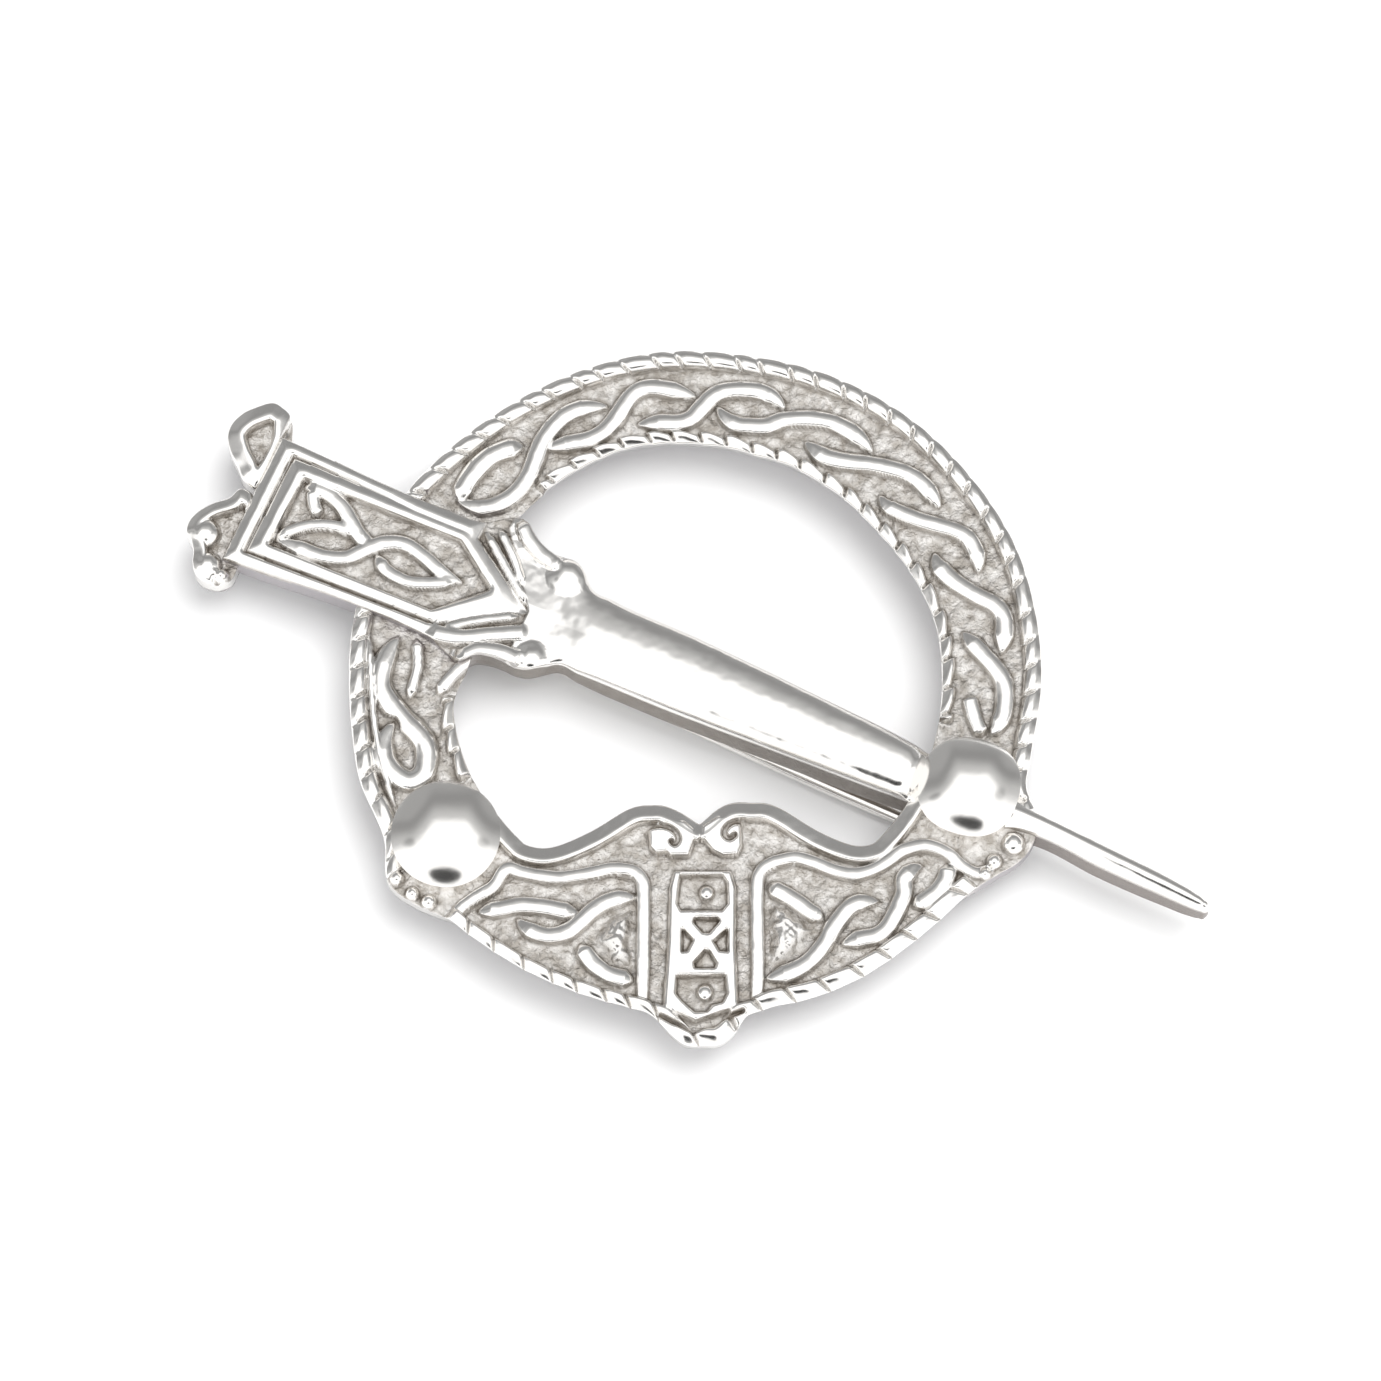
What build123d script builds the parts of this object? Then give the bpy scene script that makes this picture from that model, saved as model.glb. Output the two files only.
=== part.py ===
"""Celtic penannular brooch in cast silver, lying face up, with a riveted pin on its back.

The brooch is drawn in millimetres on its own flat back, about the middle of the ring. It
lies level on its hinge and its catch, which carry the back a little above the ground.
"""
from build123d import *

import os
from math import atan2, cos, degrees, pi, radians, sin

# Ring and its two rope borders
ring_radius = 18.9
band_width = 5.5
plate_height = 1.3
relief_height = 0.6
outer_rope_width = 1.15
inner_rope_width = 0.85
rope_height = 0.7
rope_pitch = 1.5
rope_cut = 0.3
rope_slant = 0.45
strand_width = 0.75
ridge_width = 0.42
rim_inset = 0.06          # the rope cells stop this far inside the plate's edges
seam = 0.2                # how deep a raised form starts inside the plate

# Bar across the ring, head plate and point outside the ring
bar_angle = -24.2
head_start_share = 0.552  # where the head starts, as a share of the hole's radius
head_length = 19.1
head_width = 7.5
head_height = 1.5
head_shift = -0.5         # the middle of the head plate, across the bar
lobe_reach = 2.8
bar_width = 5.1
bar_shift = -0.12         # the middle of the bar, across its own line
bar_height = 3.1
point_length = 12.9
point_width = 1.5
point_height = 2.3

# Round bosses and small lobes
boss_radius = 2.7
boss_wall = 1.9
boss_height = 3.2
boss_inset = 2.8          # from the edge of the hole to the middle of a boss
left_boss_angle = -146.3
right_boss_angle = -23.1
lobe_radius = 1.25
lobe_foot = 0.8           # the neck lobes start this high above the back
lobe_wall = 1.9
lobe_height = 2.8

# Pin, hinge and catch on the back
pin_angle = -24.9
pin_offset = 1.69         # the pin's line passes this far below the middle of the ring
pin_depth = 1.4           # the pin's middle below the back
stem_radius = 0.45
hinge_inset = 0.7         # from the edge of the hole in to the middle of the hinge
taper_length = 6.5
eye_radius = 0.85
eye_width = 1.1
rivet_radius = 0.35
rivet_head_radius = 0.6
rivet_head_height = 0.2
running_gap = 0.02
side_gap = 0.04
cheek_width = 0.65
findings_drop = 2.4       # lowest edge of the hinge and the catch, below the back
catch_length = 2.4
catch_gap = 0.06
catch_roof_gap = 0.1
tip_reach = 1.4           # the pin passes the catch by this much

hole_radius = ring_radius - band_width
boss_orbit = hole_radius + boss_inset
head_start = head_start_share * hole_radius
head_end = head_start + head_length
point_start = ring_radius - outer_rope_width
cheek_radius = findings_drop - pin_depth
findings_half = eye_width / 2 + side_gap + cheek_width
hinge_reach = hole_radius - hinge_inset
catch_reach = hole_radius + catch_length / 2 + catch_gap * 2
tip_end = catch_reach + catch_length / 2 + tip_reach

# Edge of the crescent plate towards the hole, from left to right, as shares of the ring's
# radius: two troughs beside two crests, with a notch between them
OGEE_LEFT = (
    # across, up
    (-0.613, -0.396),
    (-0.529, -0.474),
    (-0.423, -0.504),
    (-0.318, -0.469),
    (-0.212, -0.406),
    (-0.122, -0.385),
    (-0.045, -0.406),
    (0.001, -0.436),
)
OGEE_RIGHT = (
    # across, up
    (0.020, -0.436),
    (0.055, -0.401),
    (0.148, -0.377),
    (0.264, -0.407),
    (0.370, -0.470),
    (0.455, -0.497),
    (0.545, -0.475),
    (0.633, -0.396),
)

# Directions from the ring's middle that close the crescent plate inside the ring's band
CRESCENT_ANGLES = range(-35, -146, -5)

# Outer edge of the whole plate, with its corners beside the bosses and its bottom tab
RIM = (
    # angle, share of the ring's radius
    (-14, 0.996), (0, 1.001), (12, 1.006), (24, 1.012), (36, 1.008), (54, 1.006), (66, 1.001),
    (80, 0.993), (98, 0.998), (110, 0.994), (126, 0.993), (138, 1.003), (146, 1.013),
    (160, 1.010), (172, 1.008), (182, 1.003), (190, 1.007), (198, 1.016), (204, 1.011),
    (208, 1.017), (210, 1.031), (212, 1.054), (214, 1.070), (216, 1.068), (219, 1.050),
    (224, 1.012), (230, 1.001), (240, 0.995), (252, 0.992), (259, 0.995), (262, 1.002),
    (264, 1.021), (266, 1.054), (268, 1.081), (271, 1.086), (274, 1.082), (276, 1.056),
    (278, 1.015), (280, 1.004), (290, 1.004), (298, 1.005), (309, 1.000), (316, 1.003),
    (322, 1.014), (326, 1.040), (330, 1.076), (334, 1.085), (338, 1.055), (341, 1.010),
)

# Edge of the ring's hole, from the right boss round to the left one
HOLE = (
    # angle, share of the hole's radius
    (-40, 1.003), (-12, 1.005), (0, 1.003), (13, 1.010), (23, 1.002), (32, 0.992), (42, 0.987),
    (52, 0.996), (60, 1.001), (68, 1.010), (76, 1.008), (82, 1.018), (90, 1.026), (98, 1.038),
    (106, 1.045), (114, 1.040), (122, 1.034), (130, 1.026), (150, 1.010), (176, 0.995),
    (190, 1.000), (204, 1.000), (213, 0.990), (222, 0.985), (240, 0.985), (270, 0.985),
    (300, 0.990),
)

# One strand of the braid, from its inner end to its outer end
BRAID_SHAPE = (
    # share of the strand's length, share of the way across the braid
    (0.00, 0.20),
    (0.14, 0.11),
    (0.27, 0.13),
    (0.40, 0.29),
    (0.52, 0.49),
    (0.64, 0.67),
    (0.76, 0.77),
    (0.88, 0.76),
    (1.00, 0.66),
)

# The strands of the braid, each by the angles of its two ends
BRAID_STRANDS = (
    # inner end, outer end
    (141.0, 107.5),
    (121.5, 90.5),
    (102.0, 73.0),
    (85.5, 53.5),
    (66.0, 36.0),
    (46.5, 21.5),
    (29.0, 5.0),
    (10.5, -11.5),
)

# Loose strands of the braid: round its upper end and down the left side
LOOSE_STRANDS = (
    # (angle, share of the way across the braid) rows
    ((142.0, 0.66), (138.5, 0.86), (132.3, 0.93), (128.7, 0.85), (126.0, 0.70)),
    ((171.7, 0.60), (176.0, 0.80), (181.4, 0.84), (187.9, 0.53), (193.7, 0.24), (199.6, 0.42)),
    ((199.6, 0.36), (201.0, 0.62), (198.0, 0.84), (193.0, 0.90), (188.4, 0.66)),
    ((173.5, 0.30), (178.2, 0.32), (184.0, 0.44)),
    ((-4.0, 0.20), (-8.0, 0.28), (-12.0, 0.45)),
)

# Arcs that carry a rope border, each by its first and last angle
OUTER_ROPES = ((-14.0, 139.5), (168.0, 207.0), (222.5, 260.0), (281.0, 322.0))
INNER_ROPES = ((-10.0, 128.0), (184.0, 204.0))

# Thin ridges and loose strands in the crescent's side panels, as shares of the radius
PANEL_RIDGES = (
    # (across, up) rows
    ((-0.693, -0.693), (-0.633, -0.649), (-0.581, -0.617), (-0.533, -0.562), (-0.448, -0.589),
     (-0.343, -0.586), (-0.237, -0.565), (-0.185, -0.570), (-0.150, -0.622)),
    ((-0.148, -0.608), (-0.150, -0.818), (-0.153, -0.935)),
    ((0.174, -0.608), (0.177, -0.818), (0.174, -0.935)),
    ((0.176, -0.622), (0.206, -0.551), (0.290, -0.533), (0.396, -0.567), (0.502, -0.570),
     (0.591, -0.512), (0.644, -0.494), (0.728, -0.522), (0.792, -0.569)),
)
PANEL_STRANDS = (
    # (across, up) rows
    ((-0.612, -0.692), (-0.502, -0.670), (-0.438, -0.673), (-0.343, -0.686)),
    ((-0.507, -0.717), (-0.422, -0.760), (-0.332, -0.723), (-0.253, -0.660), (-0.198, -0.648)),
    ((-0.332, -0.792), (-0.264, -0.866), (-0.201, -0.891)),
    ((0.227, -0.622), (0.322, -0.686), (0.364, -0.707)),
    ((0.217, -0.882), (0.327, -0.834), (0.391, -0.739), (0.448, -0.670), (0.517, -0.665)),
    ((0.422, -0.787), (0.517, -0.760), (0.575, -0.686), (0.597, -0.591), (0.644, -0.559)),
    ((0.628, -0.670), (0.697, -0.622), (0.717, -0.554)),
)

# Rounded pads beside the centre panel, as shares of the radius
PADS = (
    # (across, up) rows, the flat side first
    ((-0.174, -0.670), (-0.174, -0.866), (-0.253, -0.841), (-0.312, -0.760), (-0.253, -0.688)),
    ((0.201, -0.638), (0.201, -0.866), (0.290, -0.831), (0.349, -0.744), (0.285, -0.668)),
)

# Centre panel: its outline and its pits, as shares of the radius
CENTRE_PANEL = (
    (-0.077, -0.562), (0.111, -0.562), (0.117, -0.930), (-0.005, -0.975), (-0.087, -0.925),
)
CENTRE_PITS = (
    ((-0.049, -0.584), (0.069, -0.584), (0.077, -0.673), (-0.049, -0.673)),
    ((-0.010, -0.701), (0.061, -0.701), (0.026, -0.740)),
    ((-0.042, -0.718), (-0.014, -0.756), (-0.042, -0.794)),
    ((0.089, -0.718), (0.057, -0.756), (0.089, -0.794)),
    ((-0.010, -0.819), (0.061, -0.819), (0.026, -0.776)),
    ((-0.049, -0.849), (0.081, -0.849), (0.081, -0.920), (0.000, -0.948), (-0.055, -0.915)),
)
PIT_DOTS = (
    # across, up, radius, all as shares of the radius
    (0.014, -0.628, 0.018),
    (0.018, -0.890, 0.022),
)

# Two scroll blocks over the centre panel, as shares of the radius
SCROLLS = (
    ((-0.134, -0.529), (-0.129, -0.465), (-0.079, -0.457), (-0.020, -0.465), (-0.014, -0.529)),
    ((0.020, -0.529), (0.026, -0.460), (0.059, -0.440), (0.119, -0.455), (0.127, -0.529)),
)

# Outline of the head plate and neck, from the neck outwards
HEAD_SHAPE = (
    # share of the head's length, half width above and below as shares of the half width
    (0.000, 0.74, 0.48),
    (0.045, 0.94, 0.61),
    (0.090, 1.02, 0.74),
    (0.150, 1.07, 0.81),
    (0.215, 1.17, 0.86),
    (0.255, 1.31, 1.08),
    (0.350, 1.02, 0.90),
    (0.660, 0.93, 0.92),
    (1.000, 1.00, 1.08),
)

# Middles of the two lobes of the neck, in the same shares
NECK_LOBES = ((0.061, 0.667), (0.085, -0.556))

# Border and frame of the head's panel: outline and opening of each, in the same shares
HEAD_BORDER = (
    ((0.60, 0.91), (1.00, 1.00), (1.00, -1.08), (0.60, -0.93)),
    ((0.57, 0.68), (0.962, 0.74), (0.962, -0.78), (0.57, -0.70)),
)
HEAD_FRAME = (
    ((0.93, 0.69), (0.37, 0.78), (0.13, 0.02), (0.37, -0.72), (0.93, -0.73)),
    ((0.90, 0.54), (0.40, 0.60), (0.255, 0.08), (0.40, -0.53), (0.90, -0.55)),
)

# Ridges of the two crown lobes at the end of the head: share of the lobe's reach past the
# head's end, and share of the head's half width
CROWN_LOBES = (
    ((-0.20, 1.02), (0.14, 1.24), (0.44, 1.32), (0.72, 1.12), (0.88, 0.84), (0.80, 0.60),
     (0.46, 0.36), (0.08, 0.20)),
    ((0.08, -0.02), (0.28, -0.22), (0.64, -0.46), (0.82, -0.72), (0.68, -0.94), (0.48, -1.08),
     (0.36, -1.26), (0.02, -1.34), (-0.24, -1.20)),
)

# Knot in the head's panel: share of the head's length, share of its half width
HEAD_STRANDS = (
    ((0.894, 0.41), (0.838, 0.47), (0.788, 0.45), (0.736, 0.31), (0.696, 0.13), (0.664, 0.09)),
    ((0.890, -0.46), (0.767, -0.44), (0.700, -0.32), (0.647, -0.05), (0.567, 0.22),
     (0.480, 0.18), (0.394, 0.00)),
    ((0.884, -0.43), (0.843, -0.24), (0.752, 0.04), (0.700, 0.06)),
    ((0.597, -0.23), (0.497, -0.26), (0.443, -0.21), (0.345, 0.00)),
)

# Sections of the bar: share of the hole's radius along it, half width at the back and at
# the shoulder as shares of the half width, shoulder and crown as shares of the bar's height
BAR_SECTIONS = (
    # along, back, shoulder, shoulder height, crown height
    (-0.716, 1.00, 0.94, 0.60, 0.88),
    (-0.075, 0.94, 0.84, 0.76, 0.98),
    (0.448, 0.82, 0.68, 0.86, 1.00),
    (0.910, 0.70, 0.54, 0.88, 1.00),
    (1.022, 0.64, 0.48, 0.66, 0.80),
)

# Sections of the point: share of its length, then middle and half width as shares of its
# half width, and shoulder and ridge as shares of its height
POINT_SECTIONS = (
    # along, middle, half width, shoulder height, ridge height
    (0.00, 0.00, 2.20, 0.60, 0.84),
    (0.20, 0.10, 0.98, 0.68, 0.96),
    (0.52, -0.20, 1.02, 0.70, 1.00),
    (0.82, -0.35, 0.84, 0.64, 0.88),
    (0.95, -0.40, 0.62, 0.58, 0.76),
    (1.00, -0.42, 0.30, 0.50, 0.60),
)

# Two slanted cells of the rope border on the tab, as shares of the radius
TAB_CELLS = (
    ((-0.118, -1.003), (-0.070, -0.984), (-0.012, -1.040), (-0.012, -1.070), (-0.062, -1.066)),
    ((0.006, -1.030), (0.066, -0.995), (0.104, -1.036), (0.082, -1.062), (0.012, -1.070)),
)

# Drawn end of the pin: share of the taper's length, share of the wire's radius
PIN_TAPER = ((0.00, 1.00), (0.60, 0.68), (0.98, 0.26), (1.00, 0.00))

# The flat back, carried above the ground by the hinge and the catch
back = Plane.XY.offset(findings_drop)


def polar(radius, angle):
    """A point on the back, by its distance and direction from the middle of the ring."""
    return (radius * cos(radians(angle)), radius * sin(radians(angle)))


def on_ring(rows):
    """Rows given as shares of the ring's radius, in millimetres."""
    return [(ring_radius * across, ring_radius * up) for across, up in rows]


def share_at(table, angle):
    """The share that a table of angles and shares gives at an angle, drawn straight between."""
    rows = list(table) + [(table[0][0] + 360, table[0][1])]
    turned = rows[0][0] + (angle - rows[0][0]) % 360
    for (first, start), (last, stop) in zip(rows, rows[1:]):
        if turned <= last:
            return start + (stop - start) * (turned - first) / (last - first)
    return rows[-1][1]


def on_band(rows):
    """Rows of angle and share across the braid, between the two rope borders."""
    inner = hole_radius + inner_rope_width
    outer = ring_radius - outer_rope_width
    return [polar(inner + (outer - inner) * share, angle) for angle, share in rows]


def along_bar(x, y):
    """A point given along and across the bar, on the back."""
    return (
        x * cos(radians(bar_angle)) - y * sin(radians(bar_angle)),
        x * sin(radians(bar_angle)) + y * cos(radians(bar_angle)),
    )


def on_head(rows):
    """Rows given as shares of the head's length and half width, on the back."""
    return [
        along_bar(-head_start - head_length * out, head_shift + head_width / 2 * up)
        for out, up in rows
    ]


def smooth(points, steps=3):
    """Points on a curve through the given ones, with each slope set by its neighbours."""
    ends = [points[0]] + list(points) + [points[-1]]
    curve = []
    for before, start, stop, after in zip(ends, ends[1:], ends[2:], ends[3:]):
        for step in range(steps):
            t = step / steps
            curve.append(tuple(
                b + t * (c - a) / 2 + t * t * (a - 2.5 * b + 2 * c - d / 2)
                + t ** 3 * (1.5 * (b - c) + (d - a) / 2)
                for a, b, c, d in zip(before, start, stop, after)
            ))
    curve.append(tuple(points[-1]))
    return curve


def band(points, width, end_width=0.45, shift=0):
    """Outline of a strip along the points, moved to their left by shift, which narrows to a
    share of its width at its ends."""
    left = []
    right = []
    last = len(points) - 1
    for index, (x, y) in enumerate(points):
        x0, y0 = points[max(index - 1, 0)]
        x1, y1 = points[min(index + 1, last)]
        heading = atan2(y1 - y0, x1 - x0)
        half = width / 2 * (end_width + (1 - end_width) * min(1.0, 4 * sin(pi * index / last)))
        left.append((x - (shift + half) * sin(heading), y + (shift + half) * cos(heading)))
        right.append((x - (shift - half) * sin(heading), y + (shift - half) * cos(heading)))
    return left + right[::-1]


def rope_cells(arcs, near, far):
    """The slanted cells of a rope border; near and far give its two edges at an angle."""
    for first, last in arcs:
        count = max(2, round(radians(last - first) * near(first) / rope_pitch))
        pitch = (last - first) / count
        cell = pitch * (1 - rope_cut / rope_pitch)
        slant = degrees(rope_slant / near(first))
        for step in range(count):
            start = first + step * pitch
            Polygon([
                polar(near(start), start - slant),
                polar(near(start + cell), start + cell - slant),
                polar(far(start + cell), start + cell),
                polar(far(start + cell / 2), start + cell / 2),
                polar(far(start), start),
            ])


def dome(place, radius, foot, wall, height):
    """A round boss: a wall from foot to wall, under a round cap that reaches height."""
    seat = Plane(
        origin=back.from_local_coords((place[0], place[1], 0)),
        x_dir=back.x_dir,
        z_dir=-back.y_dir,
    )
    with BuildSketch(seat) as profile:
        with BuildLine():
            Polyline((0, height), (0, foot), (radius, foot), (radius, wall))
            TangentArc((0, height), (radius, wall), tangent=(1, 0))
        make_face()
    revolve(profile.sketch, axis=Axis(seat.origin, back.z_dir))


def across_bar(x):
    """The plane square to the bar at a distance along it, with its heights upwards."""
    here = along_bar(x, 0)
    side = along_bar(0, 1)
    along = along_bar(1, 0)
    return Plane(
        origin=back.from_local_coords((here[0], here[1], 0)),
        x_dir=back.x_dir * side[0] + back.y_dir * side[1],
        z_dir=back.x_dir * along[0] + back.y_dir * along[1],
    )


def across_pin(s):
    """The plane square to the pin's line at a distance along it, heights upwards."""
    along = polar(1, pin_angle)
    side = polar(1, pin_angle + 90)
    x = along[0] * s - side[0] * pin_offset
    y = along[1] * s - side[1] * pin_offset
    return Plane(
        origin=back.from_local_coords((x, y, 0)),
        x_dir=back.x_dir * side[0] + back.y_dir * side[1],
        z_dir=back.x_dir * along[0] + back.y_dir * along[1],
    )


def beside_pin(s, w):
    """The plane along the pin at a distance s along it and w beside it, heights upwards."""
    along = polar(1, pin_angle)
    side = polar(1, pin_angle + 90)
    x = along[0] * s + side[0] * (w - pin_offset)
    y = along[1] * s + side[1] * (w - pin_offset)
    return Plane(
        origin=back.from_local_coords((x, y, 0)),
        x_dir=back.x_dir * along[0] + back.y_dir * along[1],
        z_dir=-(back.x_dir * side[0] + back.y_dir * side[1]),
    )


rim = smooth([polar(ring_radius * share, angle) for angle, share in RIM], 2)
hole = smooth([polar(hole_radius * share, angle) for angle, share in HOLE], 2)
ogee = smooth(on_ring(OGEE_LEFT), 2) + smooth(on_ring(OGEE_RIGHT), 2)
crescent = ogee + [polar(point_start, angle) for angle in CRESCENT_ANGLES]
head_outline = on_head([(out, up) for out, up, down in HEAD_SHAPE])
head_outline += on_head([(out, -down) for out, up, down in reversed(HEAD_SHAPE)])
crown_ridges = [
    smooth([
        along_bar(-head_end - lobe_reach * out, head_shift + head_width / 2 * up)
        for out, up in rows
    ], 2)
    for rows in CROWN_LOBES
]

with BuildPart() as brooch_casting:
    # The ring and the crescent plate, which fills the ring's hole below the ogee edge
    with BuildSketch(back):
        Polygon(rim)
        Polygon(hole, mode=Mode.SUBTRACT)
        Polygon(crescent)
    extrude(amount=plate_height)

    # The head plate with its neck, and the floor of the two crown lobes
    with BuildSketch(back):
        Polygon(head_outline)
        for ridge in crown_ridges:
            Polygon(ridge)
            Polygon(band(ridge, 2 * ridge_width, 0.8))
    extrude(amount=head_height)

    # The domed bar
    for along, back_half, shoulder_half, shoulder, crown in BAR_SECTIONS:
        with BuildSketch(across_bar(along * hole_radius)):
            with BuildLine():
                foot = back_half * bar_width / 2
                edge = shoulder_half * bar_width / 2
                rise = shoulder * bar_height
                middle = bar_shift
                Polyline((middle - edge, rise), (middle - foot, 0), (middle + foot, 0),
                         (middle + edge, rise))
                ThreePointArc((middle - edge, rise), (middle, crown * bar_height),
                              (middle + edge, rise))
            make_face()
    loft(ruled=True)

    # The point outside the ring
    for share, middle, half, shoulder, ridge in POINT_SECTIONS:
        with BuildSketch(across_bar(point_start + share * point_length)):
            with Locations((middle * point_width / 2, 0)):
                side = half * point_width / 2
                Polygon([
                    (-side, 0),
                    (side, 0),
                    (side, shoulder * point_height),
                    (side / 4, ridge * point_height),
                    (-side / 4, ridge * point_height),
                    (-side, shoulder * point_height),
                ])
    loft(ruled=True)

    # Bosses and the two lobes of the neck
    dome(polar(boss_orbit, left_boss_angle), boss_radius, 0, boss_wall, boss_height)
    dome(polar(boss_orbit, right_boss_angle), boss_radius, 0, boss_wall, boss_height)
    for place in on_head(NECK_LOBES):
        dome(place, lobe_radius, lobe_foot, lobe_wall, lobe_height)

    # Two hinge cheeks on the back, bored for the rivet
    for side in (-1, 1):
        inner_face = eye_width / 2 + side_gap
        cheek_middle = side * (inner_face + cheek_width / 2)
        with BuildSketch(beside_pin(-hinge_reach, cheek_middle)):
            with Locations((0, -pin_depth)):
                Circle(cheek_radius)
            with Locations((0, (seam - pin_depth) / 2)):
                Rectangle(2 * cheek_radius, pin_depth + seam)
            with Locations((0, -pin_depth)):
                Circle(rivet_radius + running_gap / 2, mode=Mode.SUBTRACT)
        extrude(amount=cheek_width / 2, both=True)

    # Open catch on the back, with its mouth away from the face
    slot_half = stem_radius + catch_gap
    roof = pin_depth - stem_radius - catch_roof_gap
    with BuildSketch(across_pin(catch_reach)):
        with Locations((0, (seam - findings_drop) / 2)):
            Rectangle(2 * findings_half, findings_drop + seam)
        with Locations((0, -(roof + findings_drop) / 2)):
            Rectangle(2 * slot_half, findings_drop - roof, mode=Mode.SUBTRACT)
    extrude(amount=catch_length / 2, both=True)

    # Raised work on the ring and the crescent: ropes, strands, ridges, scrolls, centre panel
    with BuildSketch(back.offset(plate_height - seam)):
        rope_cells(
            OUTER_ROPES,
            lambda angle: ring_radius - outer_rope_width,
            lambda angle: ring_radius * share_at(RIM, angle) - rim_inset,
        )
        rope_cells(
            INNER_ROPES,
            lambda angle: hole_radius * share_at(HOLE, angle) + rim_inset,
            lambda angle: hole_radius + inner_rope_width,
        )
        for rows in TAB_CELLS:
            Polygon(on_ring(rows))
    extrude(amount=rope_height + seam)
    with BuildSketch(back.offset(plate_height - seam)):
        for start, stop in BRAID_STRANDS:
            rows = [(start + (stop - start) * share, across) for share, across in BRAID_SHAPE]
            Polygon(band(smooth(on_band(rows), 2), strand_width))
        for rows in LOOSE_STRANDS:
            Polygon(band(smooth(on_band(rows), 2), strand_width))
    extrude(amount=relief_height + seam)
    with BuildSketch(back.offset(plate_height - seam)):
        for rows in PANEL_STRANDS:
            Polygon(band(smooth(on_ring(rows), 2), strand_width))
        for rows in PANEL_RIDGES:
            Polygon(band(smooth(on_ring(rows), 2), ridge_width, 1.0))
        for rows in SCROLLS:
            Polygon(on_ring(rows))
        for rows in (OGEE_LEFT, OGEE_RIGHT):
            Polygon(band(smooth(on_ring(rows), 2), 2 * ridge_width, 1.0, -ridge_width))
        Polygon(on_ring(CENTRE_PANEL))
        for rows in CENTRE_PITS:
            Polygon(on_ring(rows), mode=Mode.SUBTRACT)
        for across, up, radius in PIT_DOTS:
            with Locations((ring_radius * across, ring_radius * up)):
                RegularPolygon(ring_radius * radius, 8)
    extrude(amount=relief_height + seam)

    # Pads beside the centre panel
    with BuildSketch(back.offset(plate_height - seam)):
        for rows in PADS:
            Polygon(on_ring(rows))
    extrude(amount=relief_height / 2 + seam)

    # Border, frame and knot of the head, and the ridges of its crown lobes
    with BuildSketch(back.offset(head_height - seam)):
        for outline, opening in (HEAD_BORDER, HEAD_FRAME):
            Polygon(on_head(outline))
            Polygon(on_head(opening), mode=Mode.SUBTRACT)
        for rows in HEAD_STRANDS:
            Polygon(band(smooth(on_head(rows), 2), 0.8 * strand_width))
        for ridge in crown_ridges:
            Polygon(band(ridge, ridge_width, 0.8))
    extrude(amount=relief_height + seam)

with BuildPart() as pin_stem:
    # The flat eye round the rivet
    with BuildSketch(beside_pin(-hinge_reach, 0)):
        with Locations((0, -pin_depth)):
            Circle(eye_radius)
    extrude(amount=eye_width / 2, both=True)
    # The round wire and its drawn tip
    with BuildSketch(beside_pin(0, 0)):
        wire_start = -hinge_reach + (eye_radius + rivet_radius) / 2
        taper_start = tip_end - taper_length
        Polygon(
            [(wire_start, -pin_depth), (wire_start, stem_radius - pin_depth)]
            + [
                (taper_start + taper_length * along, stem_radius * share - pin_depth)
                for along, share in PIN_TAPER
            ]
        )
    wire_plane = beside_pin(0, 0)
    wire_axis = Axis(wire_plane.from_local_coords((0, -pin_depth, 0)), wire_plane.x_dir)
    revolve(axis=wire_axis)
    with BuildSketch(beside_pin(-hinge_reach, 0)):
        with Locations((0, -pin_depth)):
            Circle(rivet_radius + running_gap)
    extrude(amount=eye_width, both=True, mode=Mode.SUBTRACT)

with BuildPart() as hinge_rivet:
    with BuildSketch(beside_pin(-hinge_reach, 0)):
        with Locations((0, -pin_depth)):
            Circle(rivet_radius)
    extrude(amount=findings_half + running_gap, both=True)
    for side in (-1, 1):
        head_middle = side * (findings_half + running_gap / 2 + rivet_head_height / 2)
        with BuildSketch(beside_pin(-hinge_reach, head_middle)):
            with Locations((0, -pin_depth)):
                Circle(rivet_head_radius)
        extrude(amount=rivet_head_height / 2, both=True)

# The origin is on the ground under the middle of the brooch
pieces = {
    "brooch_casting": brooch_casting,
    "pin_stem": pin_stem,
    "hinge_rivet": hinge_rivet,
}
boxes = [piece.part.bounding_box() for piece in pieces.values()]
stand = Location((
    -(min(box.min.X for box in boxes) + max(box.max.X for box in boxes)) / 2,
    -(min(box.min.Y for box in boxes) + max(box.max.Y for box in boxes)) / 2,
    -min(box.min.Z for box in boxes),
))

os.makedirs("parts", exist_ok=True)
for name, piece in pieces.items():
    placed = piece.part.moved(stand)
    placed.label = name
    export_step(placed, f"parts/{name}.step")
    print(name, "volume", round(placed.volume, 2), "solids", len(placed.solids()))
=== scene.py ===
"""Celtic penannular brooch in cast silver: the model that shows, its studio and its camera.

Shapes are worked out in millimetres on the brooch's flat back, about the middle of the ring:
u goes right, v goes away from the camera, n goes up from the back. The bar has its own pair,
x along it towards the point and y across it, upwards in the picture.
"""

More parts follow.
